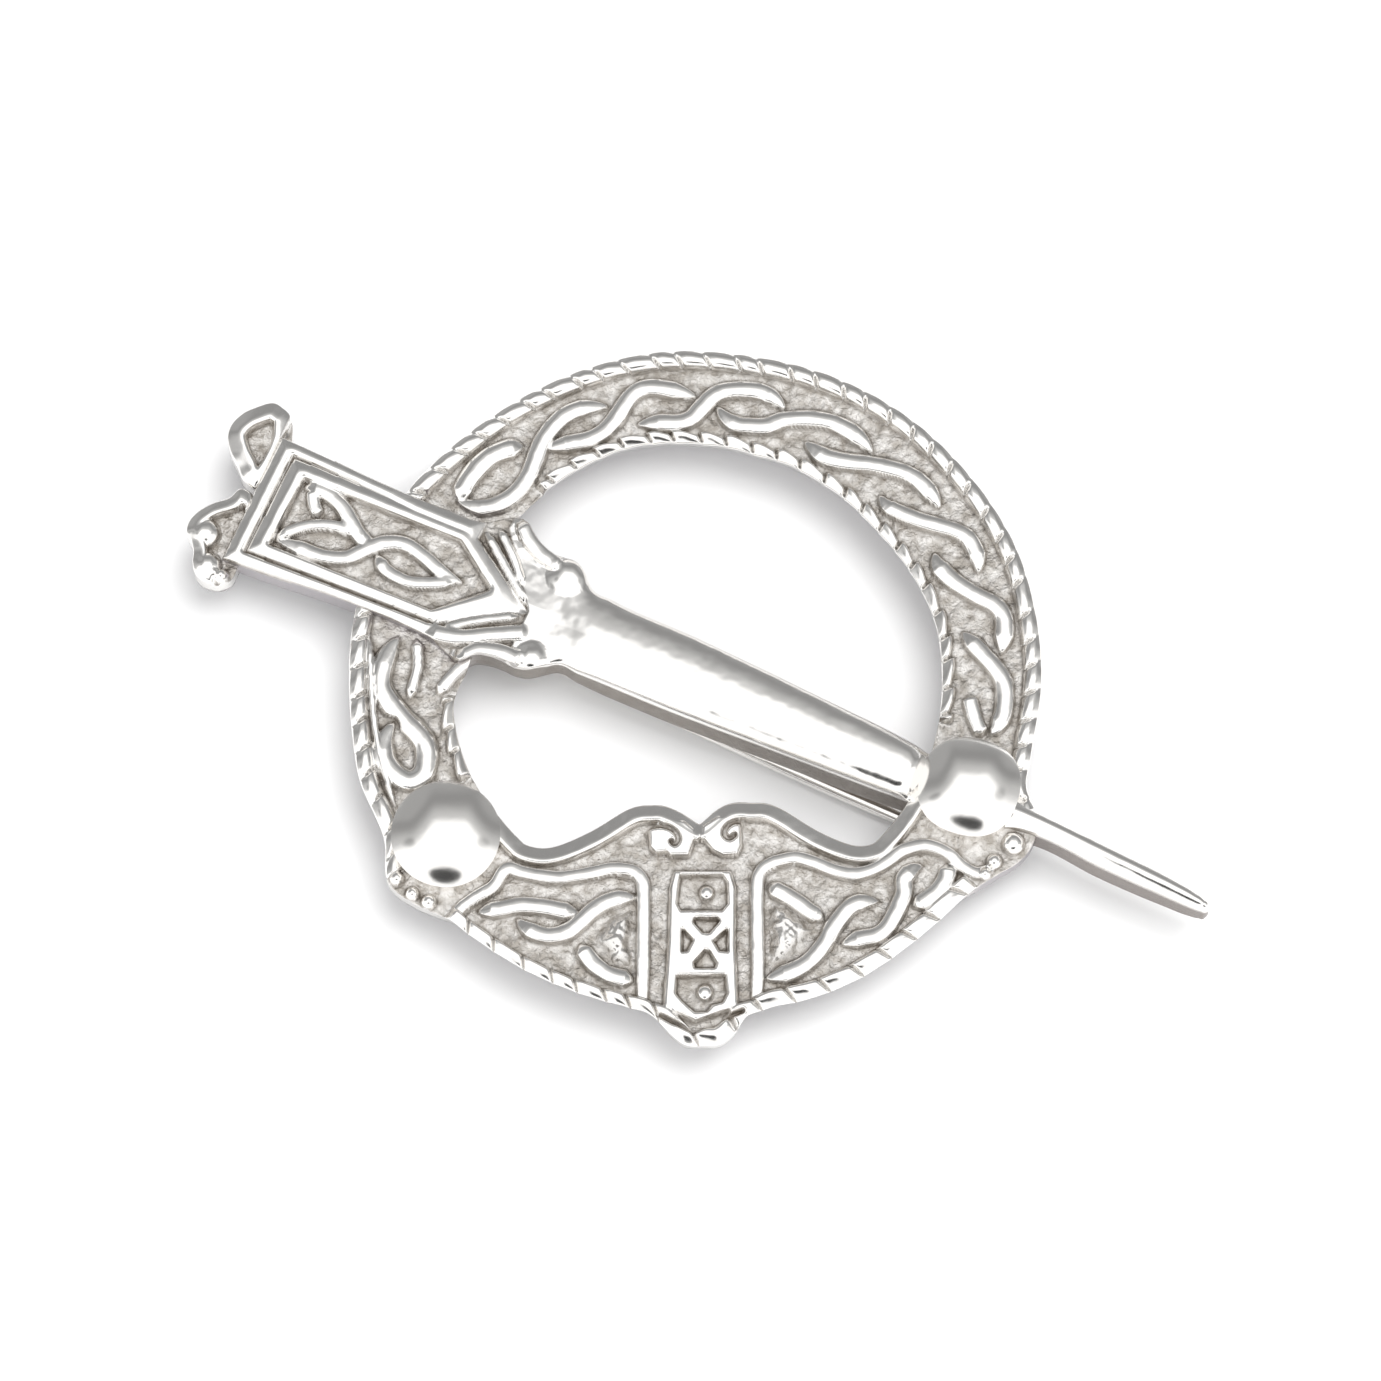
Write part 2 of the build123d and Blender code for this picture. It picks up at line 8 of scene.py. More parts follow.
import bpy
import numpy as np
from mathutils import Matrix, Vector


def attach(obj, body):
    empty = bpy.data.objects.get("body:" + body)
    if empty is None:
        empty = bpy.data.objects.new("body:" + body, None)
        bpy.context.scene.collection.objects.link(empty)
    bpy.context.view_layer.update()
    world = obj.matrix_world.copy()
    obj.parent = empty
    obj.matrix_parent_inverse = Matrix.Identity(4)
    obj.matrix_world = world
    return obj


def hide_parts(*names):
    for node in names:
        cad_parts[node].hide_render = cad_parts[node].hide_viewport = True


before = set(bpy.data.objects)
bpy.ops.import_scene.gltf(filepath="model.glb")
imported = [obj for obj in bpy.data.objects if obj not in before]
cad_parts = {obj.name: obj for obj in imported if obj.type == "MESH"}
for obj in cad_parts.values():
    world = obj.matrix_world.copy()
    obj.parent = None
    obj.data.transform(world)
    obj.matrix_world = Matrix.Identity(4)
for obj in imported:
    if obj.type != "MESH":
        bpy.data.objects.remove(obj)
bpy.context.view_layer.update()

MM = 0.001
ORIGIN = (0.0685, 0.88, 2.4)  # the middle of the ring's back in the frame, in mm
RING = 18.9                   # radii that the tables of the edges refer to
HOLE_RADIUS = 13.4
BRAID_FROM = -23.1            # angles at which the braided part of the ring ends
BRAID_TO = 213.7
PLATE_TO = 336.9              # angle at which the crescent plate ends on the right
PLATE = 1.3                   # height of the ring's ground
CREST = 1.98                  # height of ropes, strands and ridges
HEAD = 1.5                    # height of the head's ground
HEAD_CREST = 2.12             # and of the raised work on it
NECK = -14.0                  # where the head ends and the neck begins along the bar
HEAD_END = -26.5              # where the head begins and the bar ends, along the bar
BAR_END = 14.4
BAR_ANGLE = np.radians(-24.2)
PIN_ANGLE = np.radians(-24.9)
PIN_OFFSET = 1.69             # how far the pin's line passes from the ring's middle
PIN_DEPTH = 1.4               # and how far it lies under the back
HINGE_AT = -12.7              # the hinge and the catch, along the pin
CATCH_AT = 14.72
WIRE = 0.45                   # radius of the pin's wire
ROPE_SLOPE = 0.95             # steepness of a rope cell's outer side
ROPE_BEND = 0.42              # and how round its crest is
OGEE_RIDGE = 1.02             # width of the ridge along the plate's ogee edge
BOW = 0.80                    # radius of a strand's round top
CREST_SHIFT = 0.10            # how far its crest runs from its middle line
BLOCK_ROUND = 0.22            # width of the rounding on blocks
EDGE_ROUND = 0.05             # and on the edges of plates
UNDER = 0.12                  # raised work starts this far under the ground beside it
FALL = 3.0                    # and is this steep there
WALL_TUCK = 0.34              # how far a wall's foot is tucked under the edge above it
SPREAD = 3                    # how many points tarnish reaches from polished work
LATTICE = 97                  # random values each way on a lattice

# Bumps on the surface: their height and width in mm
GROUND_BUMPS = ((0.060, 0.40), (0.045, 0.19))
POLISH_WAVES = ((0.014, 0.8), (0.006, 0.33))
PEBBLES = ((0.07, 0.40), (0.06, 0.2))

# Grains or waves to a millimetre in the materials
GRIT_PER_MM = 6.5
WAVES_PER_MM = 1.1
STAINS_PER_MM = 1.4
DRAWN_PER_MM = 2.5

# The plate's outer edge: angle and share of RING
RIM = (
    (-14, 0.996), (0, 1.001), (12, 1.006), (24, 1.012), (36, 1.008), (54, 1.006), (66, 1.001),
    (80, 0.993), (98, 0.998), (110, 0.994), (126, 0.993), (138, 1.003), (146, 1.013), (160, 1.01),
    (172, 1.008), (182, 1.003), (190, 1.007), (198, 1.016), (204, 1.011), (208, 1.017),
    (210, 1.031), (212, 1.054), (214, 1.07), (216, 1.068), (219, 1.05), (224, 1.012),
    (230, 1.001), (240, 0.995), (252, 0.992), (259, 0.995), (262, 1.002), (264, 1.021),
    (266, 1.054), (268, 1.081), (271, 1.086), (274, 1.082), (276, 1.056), (278, 1.015),
    (280, 1.004), (290, 1.004), (298, 1.005), (309, 1), (316, 1.003), (322, 1.014), (326, 1.04),
    (330, 1.076), (334, 1.085), (338, 1.055), (341, 1.01),
)
# The hole's edge: angle and share of HOLE_RADIUS
HOLE = (
    (-40, 1.003), (-12, 1.005), (0, 1.003), (13, 1.01), (23, 1.002), (32, 0.992), (42, 0.987),
    (52, 0.996), (60, 1.001), (68, 1.01), (76, 1.008), (82, 1.018), (90, 1.026), (98, 1.038),
    (106, 1.045), (114, 1.04), (122, 1.034), (130, 1.026), (150, 1.01), (176, 0.995), (190, 1),
    (204, 1), (213, 0.99), (222, 0.985), (240, 0.985), (270, 0.985), (300, 0.99),
)
# The ogee edge on both sides of its notch: u and v as shares of RING
OGEE_LEFT = (
    (-0.613, -0.396), (-0.529, -0.474), (-0.423, -0.504), (-0.318, -0.464), (-0.212, -0.399),
    (-0.122, -0.377), (-0.045, -0.399), (0.009, -0.434),
)
OGEE_RIGHT = (
    (0.011, -0.434), (0.055, -0.395), (0.148, -0.37), (0.264, -0.4), (0.37, -0.465),
    (0.455, -0.497), (0.545, -0.475), (0.633, -0.396),
)

# Middles of the braid's strands, in mm about the ring's middle
BRAID = (
    ((-13, 10.15), (-12.75, 11), (-12.2, 11.9), (-11.4, 12.7), (-10.5, 13.15), (-9.5, 13.35)),
    ((-13.1, 10.2), (-12.3, 9.9), (-11.4, 9.85), (-10.2, 10.4), (-9.25, 11.55), (-8.8, 12.7),
     (-8.34, 13.8), (-7.43, 14.95), (-6.34, 15.5), (-4.9, 15.65)),
    ((-8.4, 13.2), (-7, 13.5), (-6, 13.7), (-5.2, 14.1), (-4.6, 14.7), (-4, 15.6),
     (-3.5, 16.3), (-2.8, 16.7), (-2, 16.7), (-1, 16.5), (0, 16.2)),
    ((-3.2, 14.6), (-2, 14.7), (-1, 14.7), (-0.3, 14.9), (0.2, 15.4), (0.8, 16.1),
     (1.5, 16.5), (2.5, 16.6), (3.5, 16.5), (4.3, 16.1), (4.9, 15.5)),
    ((1.2, 15.6), (1.6, 15), (2.2, 14.6), (3, 14.5), (3.9, 14.5), (4.7, 14.8), (5.5, 14.9),
     (6.5, 14.9), (7.5, 14.7), (8.5, 14.2), (9.2, 13.6), (9.7, 13)),
    ((6, 13.6), (6.8, 12.9), (7.5, 12.6), (8.5, 12.4), (9.5, 12.3), (10.5, 12.1),
     (11.5, 11.8), (12.3, 11.3), (13, 10.5), (13.4, 9.8)),
    ((10.1, 10.5), (10.5, 9.9), (11.2, 9.5), (12.2, 9.1), (13.2, 8.8), (14.2, 8.5), (14.9, 8.1),
     (15.3, 7.4), (15.5, 6.7), (15.5, 6.1)),
    ((13.1, 7.2), (13.3, 6.5), (13.9, 5.8), (14.7, 5.2), (15.5, 4.7), (16.3, 4.3), (16.8, 3.7),
     (16.9, 2.9), (16.8, 2), (16.7, 1.5)),
    ((14.6, 2.7), (15.1, 2.1), (15.8, 1.3), (16.4, 0.6), (16.8, -0.1), (16.9, -0.9),
     (16.8, -1.8), (16.5, -2.6), (16.1, -3.1)),
    ((14.9, -0.9), (15.2, -2.2), (15.6, -3.2)),
    ((-16.3, 2.4), (-16.9, 1.4), (-17.2, 0.5), (-17.2, -0.4), (-16.7, -1.3), (-16, -2.2),
     (-15.3, -2.9), (-14.8, -3.6), (-14.7, -4.5), (-14.9, -5.3), (-15.6, -5.7), (-16.4, -5.3),
     (-17, -4.5), (-17.1, -3.7), (-16.8, -2.9), (-16.5, -2.5)),
    ((-15.3, 2.3), (-15.2, 0.8), (-15.5, -0.5), (-15.65, -1.1)),
    ((-14.05, -0.9), (-13.8, -0.4), (-13.2, 0.35), (-12.6, 0.9), (-11.8, 1.2)),
    ((-17.85, 2.6), (-17.78, 0.3), (-17.6, -2), (-17.25, -4.2), (-16.7, -6.2), (-16.3, -7.3)),
)
BRAID_WIDTHS = (1.25, 1.08, 1.08, 1.08, 1.08, 1.08, 1.05, 1.1, 1.1, 0.9, 1.35, 0.62,
                0.75, 0.34)

# The crescent's side panels, in mm: strands, ridges and pebbled pads
PANEL_STRANDS = (
    ((-11.8, -13.1), (-10.5, -12.9), (-9.5, -12.7), (-8.3, -12.8), (-7.2, -13), (-6.4, -13.1)),
    ((-9.7, -13.5), (-9, -14.1), (-8, -14.4), (-7, -14.2), (-6.3, -13.7), (-5.6, -13),
     (-4.8, -12.5), (-4, -12.3), (-3.2, -12.3)),
    ((-6.3, -14.9), (-5.7, -15.8), (-5, -16.4), (-4.3, -16.7), (-3.4, -16.9)),
    ((3.9, -11.6), (5.3, -12.4), (6.1, -13), (6.9, -13.5)),
    ((3.8, -16.8), (5.2, -16.4), (6.2, -15.8), (7, -14.8), (7.4, -14), (7.9, -13.3),
     (8.5, -12.7), (9.2, -12.5), (9.9, -12.5)),
    ((7.9, -14.9), (8.8, -14.6), (9.8, -14.4), (10.4, -13.9), (10.9, -13), (11.3, -12),
     (11.3, -11.2), (11.8, -10.7), (12.3, -10.5)),
    ((11.8, -12.8), (12.6, -12.3), (13.2, -11.8), (13.6, -11.1), (13.7, -10.4)),
)
PANEL_RIDGES = (
    ((-13.2, -13.6), (-12.8, -12.9), (-12, -12.3), (-11, -11.7), (-10.5, -10.9),
     (-10.1, -10.7), (-9.5, -10.9), (-8.5, -11.1), (-7.5, -11.2), (-6.5, -11.1), (-5.5, -10.9),
     (-4.5, -10.7), (-3.5, -10.8), (-3, -11.2), (-2.85, -12), (-2.85, -15.5), (-2.9, -18.1)),
    ((3.3, -17.9), (3.35, -15.5), (3.3, -12.5), (3.4, -11.1), (3.9, -10.5), (4.7, -10.2),
     (5.5, -10.1), (6.5, -10.4), (7.5, -10.8), (8.5, -11), (9.5, -10.8), (10.4, -10.3),
     (11.2, -9.7), (12.2, -9.4), (13, -9.5), (13.8, -9.9), (14.4, -10.5), (15.2, -10.9),
     (15.9, -10.7)),
)
PADS = (
    ((-3.3, -12.8), (-3.3, -16.4), (-4.6, -16.1), (-5.8, -14.6), (-4.7, -13.1)),
    ((3.8, -12.1), (3.8, -16.4), (5.2, -15.9), (6.6, -14.1), (5.2, -12.6)),
)

# Centre panel with its pits and the dots in them (u, v and radius), and the scrolls above it
CENTRE_PANEL = (
    (-1.25, -10.8), (1.95, -10.8), (2.22, -11.8), (2.18, -14.8), (2.32, -18.4), (0, -19.27),
    (-1.82, -18.5), (-1.56, -14.8), (-1.49, -11.8),
)
CENTRE_PITS = (
    ((-0.85, -11.05), (1.45, -11.05), (1.72, -11.5), (1.76, -12.7), (1.45, -13.1), (-0.85, -13.1),
     (-1.06, -12.7), (-0.95, -11.6)),
    ((-0.1, -13.45), (1.22, -13.45), (1.3, -13.7), (0.75, -14.35), (0.35, -14.35),
     (-0.18, -13.75)),
    ((-0.8, -14.05), (-0.6, -14.15), (-0.12, -14.7), (-0.45, -15.35), (-0.8, -15.4)),
    ((1.75, -14.1), (1.55, -14.15), (0.9, -14.75), (1.25, -15.35), (1.75, -15.4)),
    ((0.45, -15.25), (0.75, -15.3), (1.15, -16), (1.05, -16.3), (-0.1, -16.3),
     (-0.15, -15.95)),
    ((-1.06, -16.68), (1.6, -16.62), (1.72, -17.7), (1.46, -18.2), (0.9, -18.35), (0.6, -18.75),
     (-0.1, -18.75), (-0.8, -18.1), (-1.13, -17.7)),
)
PIT_DOTS = ((0.58, -12.05, 0.46), (0.48, -17.6, 0.5))
SCROLL_NOTCH = ((0.2, -8.95), (-0.45, -10.35), (0.95, -10.35))
TAB_GROOVE = ((-1.95, -18.85), (-1.27, -19.24), (-0.12, -19.77), (1.32, -19.09), (2.5, -18.65))
SCROLLS = (
    ((-2.64, -8.5), (-2.57, -9.54), (-2.21, -9.91), (-1.63, -9.84), (-1.42, -10.06),
     (-0.34, -10.06), (0.02, -9), (0, -8.5), (-0.6, -8), (-1.6, -7.8)),
    ((0.2, -8.9), (0.88, -9.77), (1.46, -10.06), (2.32, -9.99), (2.54, -9.39), (2.5, -8.35),
     (2.4, -7.9), (1.2, -7.7), (0.3, -8.3)),
)
CURLS = (
    ((-2.7, -8.46), (-2.04, -8.32), (-1.5, -8.42), (-1.1, -8.7), (-0.97, -9.08),
     (-1.15, -9.34), (-1.32, -9.2)),
    ((2.65, -8.12), (2.05, -8.13), (1.64, -8.42), (1.54, -8.82), (1.82, -9.02), (2.08, -8.84)),
)

# Beads on the plate beside the bosses: u, v and radius
RIM_BEADS = (
    (15.7, -10.95, 0.36), (16.2, -10.25, 0.46), (17.25, -9.25, 0.66), (-16.5, -10.75, 0.46),
    (-16.25, -11.2, 0.42), (-15.4, -12.05, 0.4), (-14.5, -12.5, 0.44),
)

# Angles at which a slit crosses the outer rope, along the lower edge
LOWER_CUTS = (
    208, 213, 218.2, 223.4, 228.4, 233.6, 239.5, 244.8, 249.2, 254.3, 258.4, 263.3, 269.7, 275.8,
    280.2, 285.9, 291.9, 297.9, 303.4, 308.6, 313.7, 319.9, 325, 329, 333.5, 338.5,
)

# Bar, neck and head: along the bar, upper edge, lower edge
BAR_EDGES = (
    (-26.5, 3.2, -4.45), (-24, 3.15, -4.3), (-20, 3.02, -3.95), (-16.5, 3.12, -3.82),
    (-14.1, 3.4, -3.95), (-12.9, 4.22, -4.3), (-12.2, 4.35, -4.5), (-11.5, 3.88, -3.85),
    (-10.8, 3.45, -3.62), (-10, 3.26, -3.54), (-9.2, 3.32, -3.56), (-8.5, 3.24, -3.36),
    (-7.9, 2.88, -2.92), (-7.3, 2.32, -2.45), (-6, 2.16, -2.4), (-1, 2.12, -2.32),
    (6, 1.8, -2.02), (12.2, 1.42, -1.72), (14.4, 1.2, -1.5),
)

# Heights of the bar's crown and of the top of its wall, along the bar
BAR_CROWN = (
    (-26, 2), (-9.6, 2.3), (-7.6, 2.48), (-4, 2.85), (-1, 3), (6, 3.1), (11.6, 3.06), (12.2, 3),
    (13.1, 2.7), (13.7, 1.9), (14.4, 1.6),
)
BAR_WALL = (
    (-26, 1.4), (-9.6, 1.5), (-6, 1.75), (-1, 1.85), (6, 2), (11.8, 2), (12.4, 1.95),
    (13.7, 1.3), (14.4, 1.3),
)

# Head panel: the frame's outer corners and its opening, and the border's opening
FRAME_OUTER = ((-25.3, 2.36), (-14.5, 2.55), (-9.8, -0.4), (-14.2, -3.05), (-25.45, -3.52))
FRAME_INNER = ((-24.25, 1.45), (-15, 1.74), (-12.45, -0.05), (-14.85, -2.4), (-24.4, -2.64))
BORDER_INNER = (
    (-25.4, 2.44), (-22, 2.42), (-19.6, 2.36), (-18, 2.15), (-14.9, 2.15), (-13, 0),
    (-14.4, -3.12), (-18, -3.3), (-25.52, -3.6),
)
HEAD_STRANDS = (
    ((-24.1, 1.1), (-23.1, 1.35), (-21.9, 1.04), (-20.9, 0.39), (-20.1, -0.17), (-19.3, -0.15)),
    ((-23.6, 1.14), (-23.2, 0.44), (-22.7, -0.05)),
    ((-24.3, -2.22), (-22.9, -2.14), (-21.5, -2.05), (-20.3, -1.6), (-19.6, -0.82), (-18.8, 0),
     (-17.7, 0.42), (-16.4, 0.18), (-15.2, -0.2), (-13.9, -0.3)),
    ((-24.3, -2.15), (-23.4, -1.15), (-22.3, -0.45), (-21, -0.15), (-20.3, -0.35)),
    ((-18.9, -0.75), (-18.4, -1.15), (-17.9, -1.4), (-16.7, -1.47), (-15.5, -1.05),
     (-14.2, -0.35)),
)
HEAD_WIDTHS = (0.95, 0.75, 0.92, 0.7, 0.78)
NECK_LINES = (
    ((-13.9, 2.85), (-12.2, 1.55), (-10.2, 0)),
    ((-13.3, 3.3), (-11.9, 2.1), (-10.8, 0.85)),
    ((-13.9, -3.25), (-12.4, -2.1), (-10.2, -0.75)),
)

# Rims of the neck: middle line, width and height
NECK_RIMS = (
    (((-12.5, 4.1), (-12.1, 3.85), (-11.7, 3.5), (-11.2, 3.18), (-10.6, 2.92), (-9.9, 2.74),
      (-9.1, 2.62)),
     0.9, 2.42),
    (((-12.6, -4.15), (-12, -4.05), (-11.4, -3.45), (-10.4, -3.12), (-9.4, -3.05),
      (-8.8, -2.95)), 0.95, 2.45),
    (((-14.8, -3.66), (-12.9, -3.3), (-11.3, -2.45), (-10, -1.75), (-9, -1.3)), 1, 2.32),
)

# Domes at the neck's end: middle, radius and height
NECK_LOBES = ((-8.75, 2.3, 1.15, 2.48), (-8.65, -2.7, 0.95, 2.46))

# Crown lobes at the head's end: middle, the rim's width, outline and beads
CROWN = (
    (
        (-27, 2.6), 1.1,
        ((-25.9, 3.3), (-26.45, 4.45), (-27.15, 4.79), (-27.8, 4.8), (-28.5, 4.2), (-29, 3.6),
         (-29.3, 2.8), (-29.2, 2), (-28.6, 1.2), (-27.9, 0.6), (-27.3, 0.1), (-26.3, 0),
         (-25.9, 1), (-25.8, 2.2)),
        (),
    ),
    (
        (-27, -3), 0.8,
        ((-26, -0.6), (-27.2, -0.4), (-27.6, -1.15), (-28.3, -1.8), (-28.8, -2.5),
         (-29.05, -3.2), (-28.95, -3.85), (-28.45, -4.3), (-28.1, -4.75), (-27.9, -5.3),
         (-27.5, -5.8), (-26.9, -6), (-26.1, -5.8), (-25.6, -5.2), (-25.6, -4),
         (-25.6, -2)),
        ((-28, -3.5, 0.9), (-27.1, -5.1, 0.8), (-26.15, -5.35, 0.45)),
    ),
)

# The point outside the ring: along the bar, middle, half width, shoulder and ridge heights
POINT = (
    (16.6, 0.1, 2.6, 1.1, 1.6), (17.6, 0.08, 1.75, 1.35, 1.88), (18.6, 0.07, 1.18, 1.48, 2.06),
    (19.6, 0.07, 0.88, 1.7, 2.16), (20.6, 0.07, 0.75, 1.8, 2.2), (24.4, -0.15, 0.76, 1.9, 2.3),
    (28.3, -0.26, 0.64, 1.72, 2.04), (29.7, -0.3, 0.54, 1.56, 1.84),
    (30.3, -0.31, 0.43, 1.42, 1.66), (30.6, -0.32, 0.27, 1.28, 1.46),
    (30.68, -0.32, 0.08, 1.18, 1.26),
)

# Bosses: name, middle, radius and squareness, and the height of their wall and cap
BOSSES = (("boss_left", (-13.6, -8.88), 2.98, 0.004), ("boss_right", (14.87, -6.22), 2.82, 0.028))
BOSS_WALL, BOSS_CAP = 2.14, 1.06


# Small maths
def catmull(points, steps=4):
    """Points on a Catmull-Rom curve through the given ones."""
    points = np.asarray(points, float)
    padded = np.vstack([points[:1], points, points[-1:]])
    t = np.arange(steps)[:, None] / steps
    pieces = []
    for a, b, c, d in zip(padded, padded[1:], padded[2:], padded[3:]):
        pieces.append(b + t * (c - a) / 2 + t * t * (a - 2.5 * b + 2 * c - d / 2)
                      + t ** 3 * (1.5 * (b - c) + (d - a) / 2))
    return np.vstack(pieces + [points[-1:]])


def held(value):
    """A value held from 0 to 1."""
    return np.clip(value, 0, 1)


def crowded(count, much):
    """Steps from 0 to 1 as a column, closer near both ends: a share much of them follows half
    a cosine wave."""
    t = np.linspace(0, 1, count)[:, None]
    return (1 - much) * t + much * (0.5 - 0.5 * np.cos(np.pi * t))


def curve(table, at, column=1, period=None):
    """Value of a table at some places: cubic pieces whose slopes come from the neighbours."""
    x, y = np.asarray(table, float)[:, 0], np.asarray(table, float)[:, column]
    if period:
        at = x[0] + (at - x[0]) % period
        x = np.concatenate([x[-2:] - period, x, x[:2] + period])
        y = np.concatenate([y[-2:], y, y[:2]])
    slope = np.gradient(y, x)
    i = np.clip(np.searchsorted(x, at, side="right") - 1, 0, len(x) - 2)
    h = x[i + 1] - x[i]
    t = held((at - x[i]) / h)
    return ((2 * t ** 3 - 3 * t ** 2 + 1) * y[i] + (t ** 3 - 2 * t ** 2 + t) * h * slope[i]
            + (3 * t ** 2 - 2 * t ** 3) * y[i + 1] + (t ** 3 - t ** 2) * h * slope[i + 1])


def to_path(u, v, path):
    """Distance of every point to a line of points, and the share of its length nearest to it:
    for each piece from a to b, t = (p - a).(b - a) / |b - a|^2 held in 0..1."""
    path = np.asarray(path, float)
    spans = np.diff(path, axis=0)
    lengths = np.hypot(spans[:, 0], spans[:, 1])
    starts = np.concatenate([[0], np.cumsum(lengths)])
    best = np.full(u.shape, 1e9)
    share = np.zeros(u.shape)
    for a, span, length, start in zip(path, spans, lengths, starts):
        t = held(((u - a[0]) * span[0] + (v - a[1]) * span[1]) / length ** 2)
        far = np.hypot(u - a[0] - t * span[0], v - a[1] - t * span[1])
        near = far < best
        best = np.where(near, far, best)
        share = np.where(near, (start + t * length) / starts[-1], share)
    return best, share


def depth_inside(u, v, outline):
    """How far each point is inside an outline, below zero outside it. A point is inside when
    a line from it to the right crosses the outline an odd number of times."""
    outline = np.asarray(outline, float)
    ends = np.roll(outline, -1, axis=0)
    inside = np.zeros(u.shape, bool)
    for a, b in zip(outline, ends):
        spans = (a[1] > v) != (b[1] > v)
        rise = b[1] - a[1] if b[1] != a[1] else 1.0
        inside ^= spans & (u < a[0] + (v - a[1]) * (b[0] - a[0]) / rise)
    far, _ = to_path(u, v, np.vstack([outline, outline[:1]]))
    return np.where(inside, far, -far)


def grain(u, v, size, seed):
    """Smooth random bumps from -1 to 1, about size mm wide: random values on a lattice that is
    shifted off the ring's middle, with smoothstep weights between them."""
    lattice = np.random.default_rng(seed).uniform(-1, 1, (LATTICE, LATTICE))
    a, b = u / size + 50.3, v / size + 50.7
    i, j = np.floor(a).astype(int), np.floor(b).astype(int)
    s, t = a - i, b - j
    s, t = s * s * (3 - 2 * s), t * t * (3 - 2 * t)
    i0, j0, i1, j1 = (k % LATTICE for k in (i, j, i + 1, j + 1))
    low = lattice[i0, j0] * (1 - s) + lattice[i1, j0] * s
    high = lattice[i0, j1] * (1 - s) + lattice[i1, j1] * s
    return low * (1 - t) + high * t


def bumps(u, v, kinds, seed):
    """The sum of some kinds of bumps, each a height times its own grain."""
    return sum(height * grain(u, v, size, seed + i) for i, (height, size) in enumerate(kinds))


def ease(value, low, high):
    """0 below low, 1 above high, smoothstep between."""
    t = held((value - low) / (high - low))
    return t * t * (3 - 2 * t)


def within(value, low, full, full_to, high):
    """0 outside low..high, 1 from full to full_to, smoothstep between."""
    return ease(value, low, full) * (1 - ease(value, full_to, high))


def mirrored(half, column, middle=()):
    """Rows, the middle ones, and the rows again backwards with the sign of a column turned."""
    half = np.array(half, float)
    other = half[::-1].copy()
    other[:, column] *= -1
    return np.vstack([half, *middle, other])


def circle(count):
    """Angles all round, in radians."""
    return np.linspace(0, 2 * np.pi, count, endpoint=False)


def polar(radius, turn):
    """A distance and an angle in radians to u and v."""
    return radius * np.cos(turn), radius * np.sin(turn)


def turned(a, b, angle):
    """A pair turned by an angle in radians."""
    return a * np.cos(angle) - b * np.sin(angle), a * np.sin(angle) + b * np.cos(angle)


def bent(far, bend):
    """How far a line with a round bend has left the straight at a distance far: it is
    sqrt(far^2 + bend^2) - bend."""
    return np.sqrt(far ** 2 + bend ** 2) - bend


def merge(a, b, soft=0.05):
    """The higher of two heights with a small fillet: (a + b + sqrt((a - b)^2 + soft^2)) / 2."""
    return (a + b + np.sqrt((a - b) ** 2 + soft ** 2)) / 2


def edge_ridge(x, room, crest_at, slope, bend, base, crest):
    """Profile of a ridge at a share x of its width room, counted from its outer side. Outwards
    from its crest it falls by slope times a bent line, and inwards to base by a round side."""
    outer = crest - slope * bent(held(crest_at - x) * room, bend)
    t = held((x - crest_at) / (1 - crest_at))
    inner = base + (crest - base) * np.sqrt(1 - t ** 2.4)
    return np.where(x < crest_at, outer, inner)


